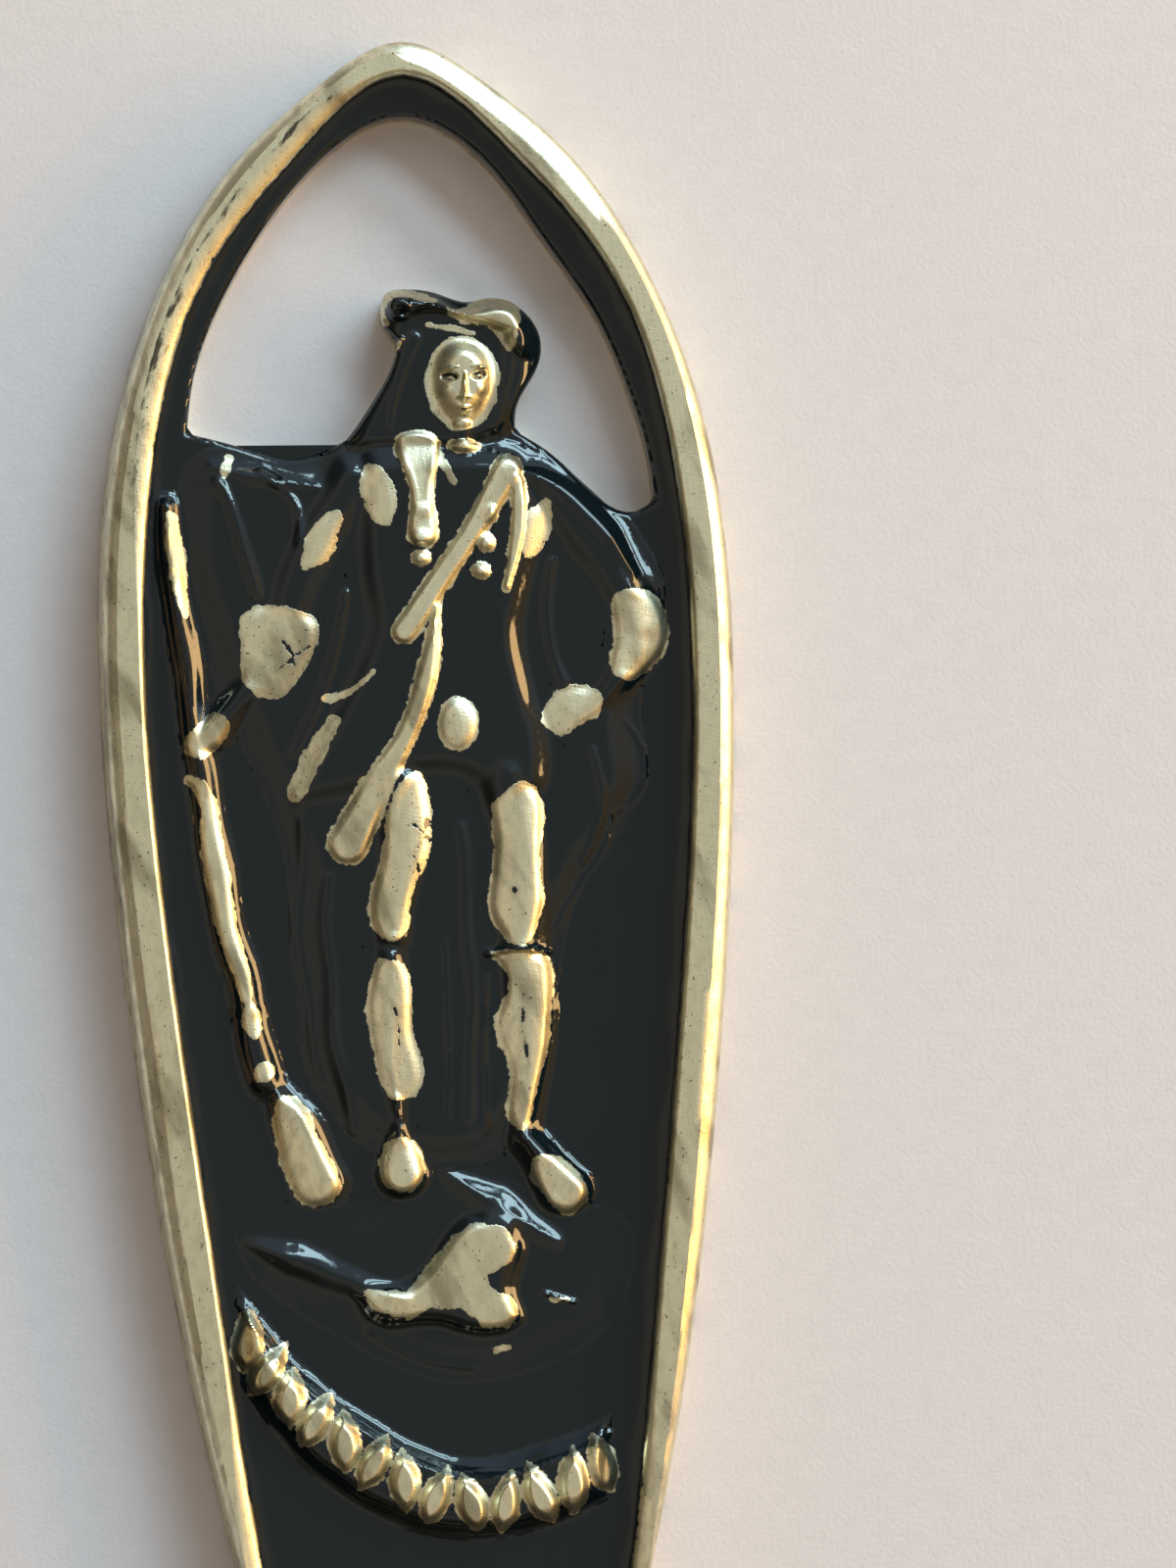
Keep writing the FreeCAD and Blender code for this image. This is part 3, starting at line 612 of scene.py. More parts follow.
def waves(count, spread_across, spread_down, size):
    """Chance waves: how fast each runs across and down the handle, its start and its size."""
    return [(ripple_dice.normal(0, spread_across), ripple_dice.normal(0, spread_down),
             ripple_dice.uniform(0, 6.28), size) for _ in range(count)]


WAVERS = waves(8, 1.6, 1.6, 0.025)
RIPPLES = waves(7, 2.4, 2.4, 0.006) + waves(7, 5.0, 1.0, 0.0025)
FACETS = buffed_facets()


# ---- meshes from the relief


CORNER_GAP = 0.04   # the least share of a grid side that is left when a border cuts it


def clipped_grid(distance, low, high, step):
    """The part of a square grid where distance is positive, cut off along its zero line.

    Gives the places of its points and its faces, wound to face up."""
    across = np.arange(low[0], high[0] + step, step)
    down = np.arange(low[1], high[1] + step, step)
    x, y = np.meshgrid(across, down)
    value = distance(x, y)
    inside = value > 0
    number = np.full(x.shape, -1)
    number[inside] = np.arange(inside.sum())
    places = [np.stack([x[inside], y[inside]], axis=-1)]
    count = int(inside.sum())
    whole = inside[:-1, :-1] & inside[:-1, 1:] & inside[1:, 1:] & inside[1:, :-1]
    rows, columns = np.nonzero(whole)
    quads = np.stack([number[rows, columns], number[rows + 1, columns],
                      number[rows + 1, columns + 1], number[rows, columns + 1]], axis=-1)
    faces = quads.tolist()
    some = inside[:-1, :-1] | inside[:-1, 1:] | inside[1:, 1:] | inside[1:, :-1]
    crossings = {}
    extra = []
    for row, column in zip(*np.nonzero(some & ~whole)):
        corners = [(row, column), (row + 1, column), (row + 1, column + 1), (row, column + 1)]
        face = []
        for start, end in zip(corners, corners[1:] + corners[:1]):
            if inside[start]:
                face.append(int(number[start]))
            if inside[start] != inside[end]:
                key = (start, end) if start < end else (end, start)
                if key not in crossings:
                    one, two = key
                    share = value[one] / (value[one] - value[two])
                    share = np.clip(share, CORNER_GAP, 1 - CORNER_GAP)
                    crossings[key] = count + len(extra)
                    extra.append((x[one] + share * (x[two] - x[one]),
                                  y[one] + share * (y[two] - y[one])))
                face.append(crossings[key])
        if len(face) > 2:
            faces.append(face)
    if extra:
        places.append(np.array(extra))
    return np.vstack(places), faces


def rim_loops(faces):
    """Closed loops of points round the open edge of a patch of faces."""
    directed = set()
    for face in faces:
        directed.update(zip(face, face[1:] + face[:1]))
    follows = {}
    for start, end in directed:
        if (end, start) not in directed:
            follows.setdefault(start, []).append(end)
    loops = []
    while follows:
        start = next(iter(sorted(follows)))
        loop = [start]
        while True:
            onward = follows[loop[-1]]
            step = onward.pop()
            if not onward:
                del follows[loop[-1]]
            if step == loop[0]:
                break
            loop.append(step)
        loops.append(loop)
    return loops


def closed_block(places, faces, top, foot):
    """A closed solid under a patch: its top, walls down to foot, and a flat underside."""
    count = len(places)
    points = [to_frame(places[:, 0], places[:, 1], top)]
    below = {}
    loops = rim_loops(faces)
    faces = list(faces)
    for loop in loops:
        for corner in loop:
            if corner not in below:
                below[corner] = count + len(below)
    edge = places[list(below)]
    points.append(to_frame(edge[:, 0], edge[:, 1], np.full(len(edge), foot)))
    for loop in loops:
        for start, end in zip(loop, loop[1:] + loop[:1]):
            faces.append([end, start, below[start], below[end]])
    flat_loops = [[Vector((places[corner][0], places[corner][1], 0)) for corner in loop]
                  for loop in loops]
    order = [below[corner] for loop in loops for corner in loop]
    for triangle in tessellate_polygon(flat_loops):
        a, b, c = (order[corner] for corner in triangle)
        faces.append([a, b, c])
    return np.vstack(points), faces


def new_piece(name, points, faces, material, sharp_angle=38):
    mesh = bpy.data.meshes.new(name)
    mesh.from_pydata([tuple(point) for point in points], [], faces)
    mesh.validate()
    mesh.materials.append(material)
    mesh.polygons.foreach_set("use_smooth", [True] * len(mesh.polygons))
    mesh.set_sharp_from_angle(angle=math.radians(sharp_angle))
    piece = bpy.data.objects.new(name, mesh)
    bpy.context.scene.collection.objects.link(piece)
    return piece


def skinned(rings, around):
    """The faces that join rings of points one after another, and close both ends."""
    faces = []
    for ring in range(rings - 1):
        for place in range(around):
            beside = (place + 1) % around
            faces.append([ring * around + place, ring * around + beside,
                          (ring + 1) * around + beside, (ring + 1) * around + place])
    faces.append(list(range(around)))
    faces.append([(rings - 1) * around + place for place in reversed(range(around))])
    return faces


def add_values(piece, name, values):
    """A value for each point of the mesh, read by the materials."""
    attribute = piece.data.attributes.new(name, "FLOAT", "POINT")
    attribute.data.foreach_set("value", np.asarray(values, np.float32))


def turn_outwards(piece):
    """Turn every face of a closed piece outwards."""
    shape = bmesh.new()
    shape.from_mesh(piece.data)
    bmesh.ops.recalc_face_normals(shape, faces=shape.faces)
    shape.to_mesh(piece.data)
    shape.free()


# ---- materials


def srgb(code):
    """An sRGB hex colour as linear red, green, blue and alpha."""
    parts = [int(code[place:place + 2], 16) / 255 for place in (1, 3, 5)]
    linear = [part / 12.92 if part <= 0.04045 else ((part + 0.055) / 1.055) ** 2.4
              for part in parts]
    return (*linear, 1)


def add_node(tree, kind, settings=None, links=None):
    """Add a node. A setting or link names one of its sockets, or else one of its properties."""
    node = tree.nodes.new("ShaderNode" + kind)
    for name, value in (settings or {}).items():
        if isinstance(name, int) or name in node.inputs:
            node.inputs[name].default_value = value
        else:
            setattr(node, name, value)
    for name, (source, output) in (links or {}).items():
        tree.links.new(source.outputs[output], node.inputs[name])
    return node


def new_material(name):
    material = bpy.data.materials.new(name)
    material.use_nodes = True
    tree = material.node_tree
    shader = tree.nodes["Principled BSDF"]
    return material, tree, shader


def grain(tree, place, across_mm, along_mm, detail=3.0, turn=0.0, roughness=0.5):
    """Noise whose grains are this many millimetres across and along the handle."""
    size = (across_mm * MM, along_mm * MM, across_mm * MM)
    spread = add_node(tree, "Mapping", {"vector_type": "TEXTURE", "Scale": size,
                                        "Rotation": (0, 0, math.radians(turn))},
                      {"Vector": (place, "Object")})
    return add_node(tree, "TexNoise", {"Scale": 1.0, "Detail": detail, "Roughness": roughness},
                    {"Vector": (spread, "Vector")})


def between(low, high, to_low, to_high, soft=False):
    """Settings that carry values from low to high over to another range and stop at its ends."""
    return {"From Min": low, "From Max": high, "To Min": to_low, "To Max": to_high,
            "interpolation_type": "SMOOTHSTEP" if soft else "LINEAR"}


def laid_over(tree, colour, layers):
    """Layers of colour over a first one. Each layer is its colour, and the range that turns a
    pattern into how much of it shows, and the pattern."""
    mixed = None
    for layer, cover, pattern in layers:
        share = add_node(tree, "MapRange", cover, {"Value": pattern})
        links = {"Fac": (share, "Result")}
        if mixed:
            links["Color1"] = (mixed, "Color")
        mixed = add_node(tree, "MixRGB", {"Color1": colour, "Color2": layer}, links)
    return mixed


PEWTER = srgb("#F0E8C8")
# Dull pewter for smears and clouds, also used to paint shade along the metal's border with the
# enamel.
PEWTER_DULL_AND_SHADE = srgb("#9A9077")
# Dark smut and pits, also used to paint shade on the frame's outer side wall.
PEWTER_SMUT_AND_SHADE = srgb("#332C26")
ENAMEL = srgb("#0A1317")


def pewter_nodes(tree, place):
    """Cast pewter, buffed on a wheel and then handled: a soft warm shine with long hair
    scratches, a few pits, and dull smears where old polish has dried."""
    smears = grain(tree, place, 0.9, 3.2, detail=5, turn=24)
    clouds = grain(tree, place, 0.25, 0.5, detail=4)
    pits = grain(tree, place, 0.07, 0.09, detail=1)
    hairs = grain(tree, place, 0.035, 2.4, detail=2, turn=6)
    cross_hairs = grain(tree, place, 1.7, 0.03, detail=2, turn=-14)
    streaks = grain(tree, place, 0.3, 1.1, detail=6, turn=-28, roughness=0.65)
    # Painted shade: a piece's own values darken the frame's outer side wall towards its foot; the
    # same layer also lays random smut streaks and the polish caught on the left arch.
    smut_and_shade = add_node(tree, "Attribute", {"attribute_name": "smut_and_shade"})
    smut_and_shade_share = add_node(tree, "Math", {"operation": "MULTIPLY_ADD", 1: 0.24},
                      {0: (smut_and_shade, "Fac"), 2: (streaks, "Fac")})
    layers = [
        (PEWTER_DULL_AND_SHADE, between(0.5, 0.68, 0.0, 0.75, soft=True), (smears, "Fac")),
        (PEWTER_DULL_AND_SHADE, between(0.42, 0.62, 0.0, 0.35), (clouds, "Fac")),
        (PEWTER_SMUT_AND_SHADE, between(0.70, 0.76, 0.0, 0.85), (pits, "Fac")),
        (PEWTER_SMUT_AND_SHADE, between(0.66, 0.80, 0.0, 0.9, soft=True), (smut_and_shade_share, "Value")),
    ]
    colour = laid_over(tree, PEWTER, layers)
    gloss = add_node(tree, "MapRange", between(0.3, 0.7, 0.30, 0.42), {"Value": (clouds, "Fac")})
    scratches = add_node(tree, "Math", {"operation": "ADD"},
                         {0: (hairs, "Fac"), 1: (cross_hairs, "Fac")})
    return colour, gloss, scratches


def enamelled_pewter():
    """Black enamel flooded over a pewter casting and buffed back to metal on the high spots.
    The enamel is deep black and wet looking with a slight orange peel. Its edge against the
    metal is ragged, because the buff chipped it."""
    material, tree, shader = new_material("enamelled_pewter")
    place = add_node(tree, "TexCoord")
    colour, gloss, scratches = pewter_nodes(tree, place)
    bright = add_node(tree, "Attribute", {"attribute_name": "bright"})
    chips = grain(tree, place, 0.3, 0.3, detail=6, roughness=0.62)
    ragged = add_node(tree, "MapRange", between(0.3, 0.7, -0.06, 0.06), {"Value": (chips, "Fac")})
    edge = add_node(tree, "Math", {"operation": "ADD"}, {0: (bright, "Fac"), 1: (ragged, "Result")})
    metal = add_node(tree, "MapRange", between(-0.012, 0.012, 0.0, 1.0, soft=True),
                     {"Value": (edge, "Value")})
    # Painted shade: the metal is painted duller in a narrow band along its border with the enamel.
    border_shade = add_node(tree, "MapRange", between(0.0, 0.10, 0.4, 0.0), {"Value": (edge, "Value")})
    colour = add_node(tree, "MixRGB", {"Color2": PEWTER_DULL_AND_SHADE},
                      {"Fac": (border_shade, "Result"), "Color1": (colour, "Color")})
    surface = add_node(tree, "MixRGB", {"Color1": ENAMEL},
                       {"Fac": (metal, "Result"), "Color2": (colour, "Color")})
    peel = grain(tree, place, 0.5, 0.5, detail=2)
    dust = grain(tree, place, 0.12, 0.12, detail=4)
    wet = add_node(tree, "MapRange", between(0.45, 0.8, 0.05, 0.20), {"Value": (dust, "Fac")})
    roughness = add_node(tree, "MixRGB", {}, {"Fac": (metal, "Result"), "Color1": (wet, "Result"),
                                              "Color2": (gloss, "Result")})
    tree.links.new(surface.outputs["Color"], shader.inputs["Base Color"])
    tree.links.new(metal.outputs["Result"], shader.inputs["Metallic"])
    tree.links.new(roughness.outputs["Color"], shader.inputs["Roughness"])
    relief = add_node(tree, "MixRGB", {}, {"Fac": (metal, "Result"), "Color1": (peel, "Fac"),
                                           "Color2": (scratches, "Value")})
    step = add_node(tree, "Math", {"operation": "ADD"},
                    {0: (relief, "Color"), 1: (metal, "Result")})
    bump = add_node(tree, "Bump", {"Strength": 0.35, "Distance": 0.012 * MM},
                    {"Height": (step, "Value")})
    tree.links.new(bump.outputs["Normal"], shader.inputs["Normal"])
    return material


def buffed_pewter():
    """The same casting metal where there is no enamel."""
    material, tree, shader = new_material("buffed_pewter")
    place = add_node(tree, "TexCoord")
    colour, gloss, scratches = pewter_nodes(tree, place)
    tree.links.new(colour.outputs["Color"], shader.inputs["Base Color"])
    tree.links.new(gloss.outputs["Result"], shader.inputs["Roughness"])
    shader.inputs["Metallic"].default_value = 1.0
    bump = add_node(tree, "Bump", {"Strength": 0.35, "Distance": 0.012 * MM},
                    {"Height": (scratches, "Value")})
    tree.links.new(bump.outputs["Normal"], shader.inputs["Normal"])
    return material


def pale_paper():
    """Plain uncoated paper: matt, with a faint fibre mottle."""
    material, tree, shader = new_material("pale_paper")
    place = add_node(tree, "TexCoord")
    mottle = grain(tree, place, 0.6, 0.5, detail=5)
    tint = add_node(tree, "MixRGB", {"Color1": srgb("#C9BFC0"), "Color2": srgb("#D2C7C8")},
                    {"Fac": (mottle, "Fac")})
    tree.links.new(tint.outputs["Color"], shader.inputs["Base Color"])
    shader.inputs["Roughness"].default_value = 0.85
    fibres = grain(tree, place, 0.12, 0.12, detail=4)
    bump = add_node(tree, "Bump", {"Strength": 0.25, "Distance": 0.05 * MM},
                    {"Height": (fibres, "Fac")})
    tree.links.new(bump.outputs["Normal"], shader.inputs["Normal"])
    return material


ENAMELLED = enamelled_pewter()
BUFFED_METAL = buffed_pewter()

# ---- the pieces of the handle


def grown(shape, amount=0.07):
    return lambda across, down: shape(across, down) + amount


def any_of(*shapes):
    return lambda across, down: np.maximum.reduce([shape(across, down) for shape in shapes])


# Where each piece of the casting begins and ends, and how fine its mesh is. A piece that is
# listed earlier has the ground to itself, and later ones meet it edge to edge.
HAT_GROUND = outline([(-1.0, 6.1), (1.0, 5.9), (2.8, 6.2), (3.7, 7.2), (3.7, 8.1), (2.9, 8.0),
                      (2.3, 7.45), (1.3, 7.28), (0.2, 7.25), (-0.5, 7.45), (-1.0, 7.2)])
HAIR_GROUND = outline([(-0.9, 6.9), (3.6, 6.9), (3.7, 8.4), (3.0, 10.2), (1.3, 10.1), (-1.6, 10.3),
                       (-1.3, 8.7)])
COAT_GROUND = outline([(-1.5, 10.15), (1.2, 10.05), (3.0, 10.4), (3.6, 12.2), (3.0, 15.0),
                       (3.5, 17.4), (3.2, 19.0), (0.6, 18.8), (-1.2, 19.1), (-3.2, 19.2),
                       (-2.6, 16.8), (-1.7, 14.6), (-1.9, 12.4)])
GROUND_EDGE = outline([(-5.0, 29.3), (-3.6, 29.0), (-1.0, 28.6), (0.8, 28.1), (2.6, 29.0),
                       (4.9, 29.8), (4.6, 32.0), (2.4, 33.5), (-0.2, 33.7), (-2.6, 32.4),
                       (-4.8, 30.6)])
PIECES = [
    ("hat", HAT_GROUND, 0.04),
    ("head", grown(HEAD, 0.02), 0.026),
    ("hair", HAIR_GROUND, 0.05),
    ("coat_buttons", any_of(*[oval(place, 0.33, 0.33) for place in BUTTONS]), 0.035),
    ("cross_belt", grown(CROSS_BELT), 0.045),
    ("left_lapel", grown(LEFT_LAPEL), 0.045),
    ("right_lapel", grown(RIGHT_LAPEL), 0.045),
    ("belly_pouch", grown(POUCH), 0.05),
    ("scabbard", grown(SCABBARD), 0.05),
    ("left_hand", grown(BUFFED["left_hand"], 0.25), 0.045),
    ("left_cuff", grown(BUFFED["left_cuff"], 0.2), 0.05),
    ("right_elbow", grown(BUFFED["right_elbow"], 0.2), 0.05),
    ("right_hand", grown(BUFFED["right_hand"], 0.2), 0.05),
    ("musket_lock", grown(stroke([(-4.55, 24.25), (-4.15, 25.9)], 0.42, 0.5), 0.05), 0.05),
    ("musket_barrel", stroke(MUSKET_BARREL, 0.36, 0.4, 0.4, 0.43, 0.48), 0.055),
    ("musket_stock", stroke(MUSKET_STOCK, 0.45, 0.72, 0.88), 0.055),
    ("shoes", any_of(stroke([(-0.9, 27.5), (-0.85, 28.3)], 0.55, 0.8),
                     stroke([(2.3, 27.9), (3.15, 28.9)], 0.55, 0.85)), 0.055),
    ("gaiters", any_of(stroke([(-0.95, 23.0), (-1.05, 24.2), (-0.9, 27.0)], 0.75, 0.85, 0.55),
                       stroke([(2.2, 23.0), (2.35, 24.4), (2.2, 27.6)], 0.9, 0.9, 0.55)), 0.055),
    ("breeches", any_of(stroke([(-0.5, 18.9), (-0.6, 20.4), (-0.85, 22.4)], 0.9, 1.0, 0.85),
                        stroke([(2.1, 18.9), (2.35, 20.4), (2.3, 22.6)], 1.0, 1.05, 0.9)), 0.055),
    ("coat", COAT_GROUND, 0.06),
    ("left_sleeve", stroke(LEFT_SLEEVE, 0.95, 1.0, 0.9), 0.055),
    ("right_sleeve", any_of(stroke(RIGHT_SLEEVE, 0.85, 1.0, 0.85),
                            stroke(RIGHT_FOREARM, 0.8, 0.65, 0.65)), 0.055),
    ("cloak", grown(CLOAK, 0.05), 0.07),
    ("polished_rock", outline([(0.4, 29.3), (1.9, 29.2), (2.6, 30.4), (2.3, 31.4), (2.4, 32.2),
                               (1.1, 32.8), (-0.2, 32.5), (-1.9, 32.2), (-2.4, 31.1),
                               (-0.7, 30.7)]), 0.055),
    ("ground_mound", GROUND_EDGE, 0.07),
    ("banner_leaves", grown(leaf_distance, 0.05), 0.04),
    ("banner", grown(BANNER, 0.03), 0.06),
]


def casting_piece(name, ground, taken, step):
    """One piece of the relief: its own ground less what finer pieces have taken."""

    def distance(across, down):
        value = np.minimum(ground(across, down), recess_distance(across, down))
        value = np.minimum(value, -window_distance(across, down))
        for other in taken:
            value = np.minimum(value, -other(across, down))
        return value

    low, high = ground_limits(ground)
    places, faces = clipped_grid(distance, low, high, step)
    top = surface_height(places[:, 0], places[:, 1])
    bright = buffed_distance(places[:, 0], places[:, 1])
    points, faces = closed_block(places, faces, top, PLATE_TOP)
    piece = new_piece(name, points, faces, ENAMELLED)
    hidden = np.full(len(points) - len(places), -FULL)
    add_values(piece, "bright", np.concatenate([bright, hidden]))
    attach(piece, "root")
    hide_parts(name)
    return piece


LIMITS_STEP = 0.25


def ground_limits(ground):
    """The corners of the box round a shape, looked for inside the recess."""
    low, high = recess_line.min(axis=0), recess_line.max(axis=0)
    x, y = np.meshgrid(np.arange(low[0], high[0], LIMITS_STEP),
                       np.arange(low[1], high[1], LIMITS_STEP))
    found = ground(x, y) > -LIMITS_STEP
    return ((x[found].min() - LIMITS_STEP, y[found].min() - LIMITS_STEP),
            (x[found].max() + LIMITS_STEP, y[found].max() + LIMITS_STEP))


taken = []
for name, ground, step in PIECES:
    casting_piece(name, ground, taken, step)
    taken.append(ground)

GROUND_STEP = 0.085
enamel = casting_piece("enamel_ground", recess_distance, taken, GROUND_STEP)


PLATE_STEP = 0.2
BACK_BUFFED = 0.2    # the back is bright, and enamel runs down the walls of the opening


def plate_piece():
    """The pierced floor of the handle."""
    def distance(across, down):
        return np.minimum(recess_distance(across, down), -window_distance(across, down))

    low, high = ground_limits(recess_distance)
    places, faces = clipped_grid(distance, low, high, PLATE_STEP)
    points, faces = closed_block(places, faces, np.full(len(places), PLATE_TOP), 0.0)
    piece = new_piece("back_plate", points, faces, ENAMELLED)
    underneath = points[:, 2] < PLATE_TOP / 2 * MM
    add_values(piece, "bright", np.where(underneath, BACK_BUFFED, -FULL))
    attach(piece, "root")
    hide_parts("back_plate")


plate_piece()

# ---- the frame of the handle

# The frame's section, as pairs: inset in millimetres from its outer edge, or back from its inner
# edge, and height as a share of its full height. A worn bevel runs outside the flat top.
OUTER_SECTION = [(0.06, 0.0), (0.0, 0.05), (0.03, 0.2), (0.1, 0.5), (0.16, 0.72), (0.2, 0.81),
                 (0.25, 0.87), (0.32, 0.912), (0.43, 0.95), (0.55, 0.982), (0.64, 1.0)]
# The same rows where handling has worn the shoulder broad and flat, on the right of the tip.
WORN_SECTION = [(0.06, 0.0), (0.0, 0.05), (0.03, 0.2), (0.1, 0.5), (0.14, 0.71), (0.17, 0.79),
                (0.21, 0.85), (0.32, 0.893), (0.46, 0.931), (0.6, 0.968), (0.73, 1.0)]
OUTER_WALL_SHADE = [0.6, 0.6, 0.6, 0.55, 0.4, 0.25, 0.1, 0.0, 0.0, 0.0, 0.0]   # painted shade on the side wall, darkest at its foot by the paper
CROWN = [0.3, 0.65, 0.96]
INNER_SECTION = [(1.0, 1.0), (0.6, 0.975), (0.3, 0.945), (0.1, 0.91), (0.0, 0.86), (0.0, 0.7),
                 (0.0, 0.3), (0.0, 0.0)]
INNER_BEVEL = 0.14     # the width of the bevel, and what it gains on the left arch and at the foot
ARCH_BEVEL = 0.34
FOOT_BEVEL = 0.3
OUTER_SHARE = 0.45     # the outer rows take no more than this share of the width
WORN_SHARE = 0.35      # and this much more of it where the shoulder is worn
ALL_METAL = 0.25       # `bright` on the outer rows and the crown
ENAMEL_LIFT = 0.88     # the height on the inner side that the enamel creeps up to
ENAMEL_FADE = 1.6
SHOULDER_SMUT = [0.1, 0.5, 1.0, 1.0, 0.4]    # polish caught along the shoulder of the left arch
STATION_GAP = 0.3
LOOK_INWARD = np.linspace(0.05, 6, 600)    # steps from the outer edge towards the recess
TAPER_FROM = 20                            # below here the two sides may meet at the middle


def even_stations(line, gap):
    """Places at even steps along a curve, with the inward normal at each."""
    travelled = distance_along(line)
    where = np.linspace(0, travelled[-1], int(travelled[-1] / gap) + 1)
    place = np.stack([np.interp(where, travelled, line[:, 0]),
                      np.interp(where, travelled, line[:, 1])], axis=-1)
    along = np.gradient(place, axis=0)
    along /= np.hypot(*along.T)[:, None]
    return place, np.stack([-along[:, 1], along[:, 0]], axis=-1)


def frame_widths(place, inward):
    """How far the recess is from each place along its normal, up to the centre line."""
    reach = LOOK_INWARD
    x = place[:, :1] + inward[:, :1] * reach
    y = place[:, 1:] + inward[:, 1:] * reach
    open_here = recess_distance(x, y) > 0
    first = np.where(open_here.any(axis=1), open_here.argmax(axis=1), len(reach) - 1)
    to_middle = np.abs(place[:, 0]) / np.maximum(np.abs(inward[:, 0]), 1e-6)
    narrow = (place[:, 1] > TAPER_FROM) & (np.sign(inward[:, 0]) == -np.sign(place[:, 0]))
    middle = np.where(narrow, to_middle, FAR * 2)
    return np.minimum(reach[first], middle), reach[first] < middle


def handle_frame_piece():
    place, inward = even_stations(frame_line, STATION_GAP)
    middle_station = len(place) // 2
    if inward[middle_station][1] < 0:
        inward = -inward
    width, is_open = frame_widths(place, inward)
    open_share = np.convolve(np.pad(is_open.astype(float), 3, mode="edge"), np.full(7, 1 / 7),
                             mode="valid")
    shoulder = np.where(is_open, open_share, 0.0)
    rows = []
    heights = []
    bright = []
    worn = rise((place[:, 0] + 0.5) / 1.4) * rise((5.0 - place[:, 1]) / 2.0)
    for (inset, lift), (worn_inset, worn_lift) in zip(OUTER_SECTION, WORN_SECTION):
        inset = inset + (worn_inset - inset) * worn
        rows.append(np.minimum(inset, width * (OUTER_SHARE + WORN_SHARE * worn)))
        heights.append((lift + (worn_lift - lift) * worn) * RIM_TOP)
        bright.append(np.full(len(width), ALL_METAL))
    top_inset = rows[-1]
    left_arch = rise((-place[:, 0] - 1) / 2) * rise((15 - place[:, 1]) / 6)
    foot = rise((place[:, 1] - 33) / 5)
    bevel = (INNER_BEVEL + ARCH_BEVEL * left_arch + FOOT_BEVEL * foot) * shoulder
    for share in CROWN:
        rows.append(top_inset + (width - top_inset - bevel) * share)
        heights.append(np.full(len(width), RIM_TOP))
        bright.append(np.full(len(width), ALL_METAL))
    for inset, lift in INNER_SECTION:
        rows.append(width - inset * bevel)
        drop = (1 - lift) * (1 if lift < 0.5 else shoulder)
        heights.append(RIM_TOP * (1 - drop) * np.ones(len(width)))
        bright.append(np.full(len(width), (lift - ENAMEL_LIFT) * ENAMEL_FADE))
    columns = len(rows)
    across = place[:, 0] + inward[:, 0] * np.array(rows)
    down = place[:, 1] + inward[:, 1] * np.array(rows)
    wander = 0.03 * np.sin(down * 1.7 + across) + 0.02 * np.sin(down * 4.3)
    points = to_frame(across, down, np.array(heights)).transpose(1, 0, 2).reshape(-1, 3)
    bright = (np.array(bright) + wander).T.reshape(-1)
    stations = len(place)
    piece = new_piece("handle_frame", points, skinned(stations, columns), ENAMELLED, sharp_angle=50)
    turn_outwards(piece)
    add_values(piece, "bright", bright)
    # Painted shade on the outer side wall, darkest at its foot, and polish caught along the shoulder
    # of the left arch.
    inner_smut = (SHOULDER_SMUT + [0.0] * columns)[:columns - len(OUTER_SECTION)]
    smut_and_shade = np.hstack([np.ones((stations, 1)) * OUTER_WALL_SHADE, left_arch[:, None] * inner_smut])
    add_values(piece, "smut_and_shade", smut_and_shade.reshape(-1))
    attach(piece, "root")
    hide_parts("handle_frame")


handle_frame_piece()

# ---- the bowl and the stem

BOWL_LOW, BOWL_HIGH = (np.array(corner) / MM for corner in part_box("bowl"))
BOWL_DEPTH = BOWL_HIGH[2]
BOWL_HALF_WIDTH = BOWL_HIGH[0]
BOWL_FRONT, BOWL_BACK = 19.0, 14.0
BOWL_MIDDLE = BOWL_LOW[1] + BOWL_FRONT
BOWL_WALL = 0.9
LIP_CROWN = 0.10
BOWL_SIDES, BOWL_RINGS, LIP_RINGS = 160, 40, 9
BOWL_CLOSES_AT = math.radians(88)    # the small flat at the bottom
STEM_SIDES = 48


def bowl_ring(angles, steepness, wall, lift=0.0):
    """A ring round the bowl, this far down from its rim as an angle, inset by part of the wall."""
    length = np.where(np.sin(angles) > 0, BOWL_BACK, BOWL_FRONT) - wall
    reach = math.cos(steepness)
    across = (BOWL_HALF_WIDTH - wall) * np.cos(angles) * reach
    along = BOWL_MIDDLE + length * np.sin(angles) * reach
    height = BOWL_DEPTH - (BOWL_DEPTH - wall) * math.sin(steepness) + lift
    return np.stack([across, along, np.full(len(angles), height)], axis=-1) * MM


def bowl_piece():
    """An egg-shaped bowl with a thin wall and a rounded lip."""
    angles = np.linspace(0, 2 * math.pi, BOWL_SIDES, endpoint=False)
    steps = np.linspace(BOWL_CLOSES_AT, 0, BOWL_RINGS)
    rings = [bowl_ring(angles, step, 0.0) for step in steps]
    for turn in np.linspace(0, math.pi, LIP_RINGS)[1:-1]:
        inset = BOWL_WALL * (1 - math.cos(turn)) / 2
        rings.append(bowl_ring(angles, 0.0, inset, LIP_CROWN * math.sin(turn)))
    rings += [bowl_ring(angles, step, BOWL_WALL) for step in steps[::-1]]
    faces = skinned(len(rings), len(angles))
    piece = new_piece("bowl", np.vstack(rings), faces, BUFFED_METAL, sharp_angle=60)
    turn_outwards(piece)
    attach(piece, "root")
    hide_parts("bowl")


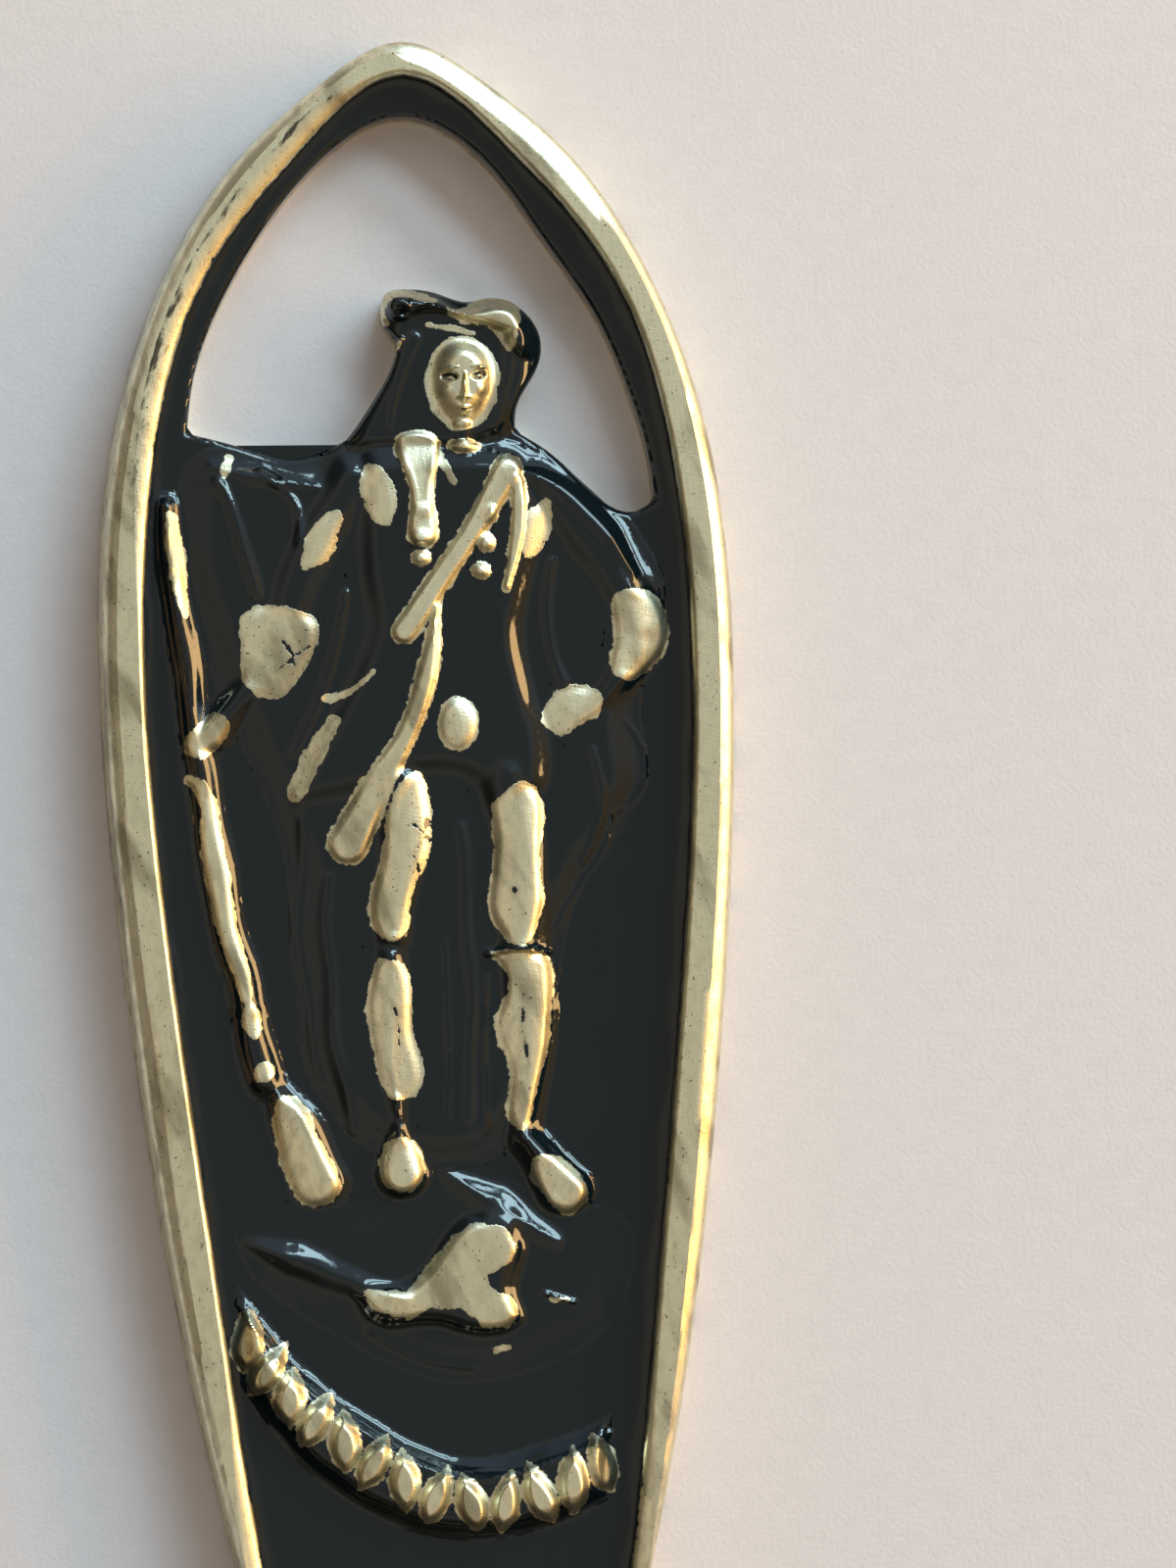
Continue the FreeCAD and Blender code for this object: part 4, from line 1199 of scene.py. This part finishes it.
# Stations along the stem: distance from the tip, height of its middle, half width, half thickness,
# slope in degrees and squareness. It leaves the frame as a flat bar and lands on the bowl's rim.
STEM_STATIONS = [(53.0, 1.0, 2.1, 0.98, 0, 5.0), (54.5, 1.0, 1.98, 0.98, 3, 4.0),
                 (60.0, 2.1, 1.75, 1.1, 20, 2.8), (67.0, 4.7, 1.7, 1.15, 20, 2.5),
                 (74.0, 6.3, 1.9, 1.05, 4, 2.5), (79.0, 6.0, 2.4, 0.85, -14, 2.5),
                 (81.2, 5.5, 2.5, 0.7, -14, 2.5), (81.9, 5.35, 2.1, 0.45, -14, 2.2)]


def stem_piece():
    stations = smooth_line(STEM_STATIONS, pieces=12)
    angles = np.linspace(0, 2 * math.pi, STEM_SIDES, endpoint=False)
    rings = []
    for down, height, half_width, half_thickness, slope, squareness in stations:
        wide, thick = np.cos(angles), np.sin(angles)
        power = 2 / squareness
        across = half_width * np.sign(wide) * np.abs(wide) ** power
        up = half_thickness * np.sign(thick) * np.abs(thick) ** power
        lean = math.radians(slope)
        ring = to_frame(across, down - up * math.sin(lean), height + up * math.cos(lean))
        rings.append(ring)
    faces = skinned(len(rings), len(angles))
    piece = new_piece("stem", np.vstack(rings), faces, BUFFED_METAL, sharp_angle=60)
    turn_outwards(piece)
    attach(piece, "root")
    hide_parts("stem")


bowl_piece()
stem_piece()

# ---- paper, light and camera


def paper_sheet():
    half = 4.0
    mesh = bpy.data.meshes.new("paper")
    mesh.from_pydata([(-half, -half, 0), (half, -half, 0), (half, half, 0), (-half, half, 0)],
                     [], [(0, 1, 2, 3)])
    mesh.materials.append(pale_paper())
    sheet = bpy.data.objects.new("paper", mesh)
    bpy.context.scene.collection.objects.link(sheet)


paper_sheet()

FINIAL_MIDDLE = Vector((0, (TIP_Y - 19) * MM, 0.001))


def soft_box(name, place, size, power, colour):
    """A rectangular studio lamp aimed at the middle of the relief."""
    lamp = bpy.data.lights.new(name, "AREA")
    lamp.shape = "RECTANGLE"
    lamp.size, lamp.size_y = size
    lamp.energy = power
    lamp.color = colour
    holder = bpy.data.objects.new(name, lamp)
    holder.location = place
    aim = FINIAL_MIDDLE - Vector(place)
    holder.rotation_euler = aim.to_track_quat("-Z", "Y").to_euler()
    bpy.context.scene.collection.objects.link(holder)


soft_box("upper_pane", (0.27, 0.38, 0.38), (0.44, 0.09), 2.0, srgb("#C2E6F2")[:3])
soft_box("lower_pane", (0.30, 0.42, 0.24), (0.44, 0.09), 2.1, srgb("#C2E6F2")[:3])
soft_box("lamp", (0.48, 0.11, 0.145), (0.32, 0.18), 2.4, srgb("#FFD08E")[:3])


# The room, as soft patches of colour laid over its walls: the direction of the middle, how near to
# it (as a cosine) the patch starts and is full, its strength and its colour.
WALLS = srgb("#645A4C")
ROOM = [
    ((0.0, 0.0, 1.0), 0.35, 0.8, 1.0, "#C8C0AE"),       # pale ceiling
    ((0.55, 0.8, 0.22), 0.40, 0.86, 0.95, "#D2E6FC"),   # window
    ((0.98, -0.1, 0.15), 0.55, 1.0, 0.9, "#E8B566"),    # lamp
    ((0.08, 0.0, 0.997), 0.84, 0.995, 1.0, "#A5A59E"),  # whoever leans over the spoon
]


def room_light():
    """A plain room: pale overhead, darker walls, cool towards the window and warm at the right,
    with the soft dark shape of whoever leans over the spoon."""
    world = bpy.data.worlds.new("room")
    bpy.context.scene.world = world
    world.use_nodes = True
    tree = world.node_tree
    backdrop = tree.nodes["Background"]
    way = add_node(tree, "TexCoord")
    patches = []
    for direction, start, full, strength, colour in ROOM:
        towards = add_node(tree, "VectorMath", {"operation": "DOT_PRODUCT", 1: direction},
                           {0: (way, "Generated")})
        cover = between(start, full, 0.0, strength, soft=True)
        patches.append((srgb(colour), cover, (towards, "Value")))
    tint = laid_over(tree, WALLS, patches)
    tree.links.new(tint.outputs["Color"], backdrop.inputs["Color"])
    backdrop.inputs["Strength"].default_value = 1.0


room_light()

# The camera looks down on the relief, a little from its left, turned so that the handle leans.
LENS_MM = 100.0
FILM_MM = 36.0
VIEW_MIDDLE = (4.10, 18.80)
VIEW_TALL = 39.15
VIEW_FROM_LEFT = math.radians(4.5)
VIEW_ROLL = math.radians(-1.84)


def add_camera():
    lens = bpy.data.cameras.new("camera")
    lens.lens = LENS_MM
    lens.sensor_width = FILM_MM
    lens.clip_start = 0.005
    camera = bpy.data.objects.new("camera", lens)
    target = Vector((VIEW_MIDDLE[0] * MM, (TIP_Y - VIEW_MIDDLE[1]) * MM, 1.6 * MM))
    distance = VIEW_TALL * MM * LENS_MM / FILM_MM
    away = Vector((-math.sin(VIEW_FROM_LEFT), 0, math.cos(VIEW_FROM_LEFT)))
    up = Vector((-math.sin(VIEW_ROLL), math.cos(VIEW_ROLL), 0))
    right = up.cross(away).normalized()
    up = away.cross(right)
    turn = Matrix((right, up, away)).transposed().to_4x4()
    camera.matrix_world = Matrix.Translation(target + away * distance) @ turn
    bpy.context.scene.collection.objects.link(camera)
    bpy.context.scene.camera = camera


add_camera()
bpy.context.scene.view_settings.view_transform = "Standard"
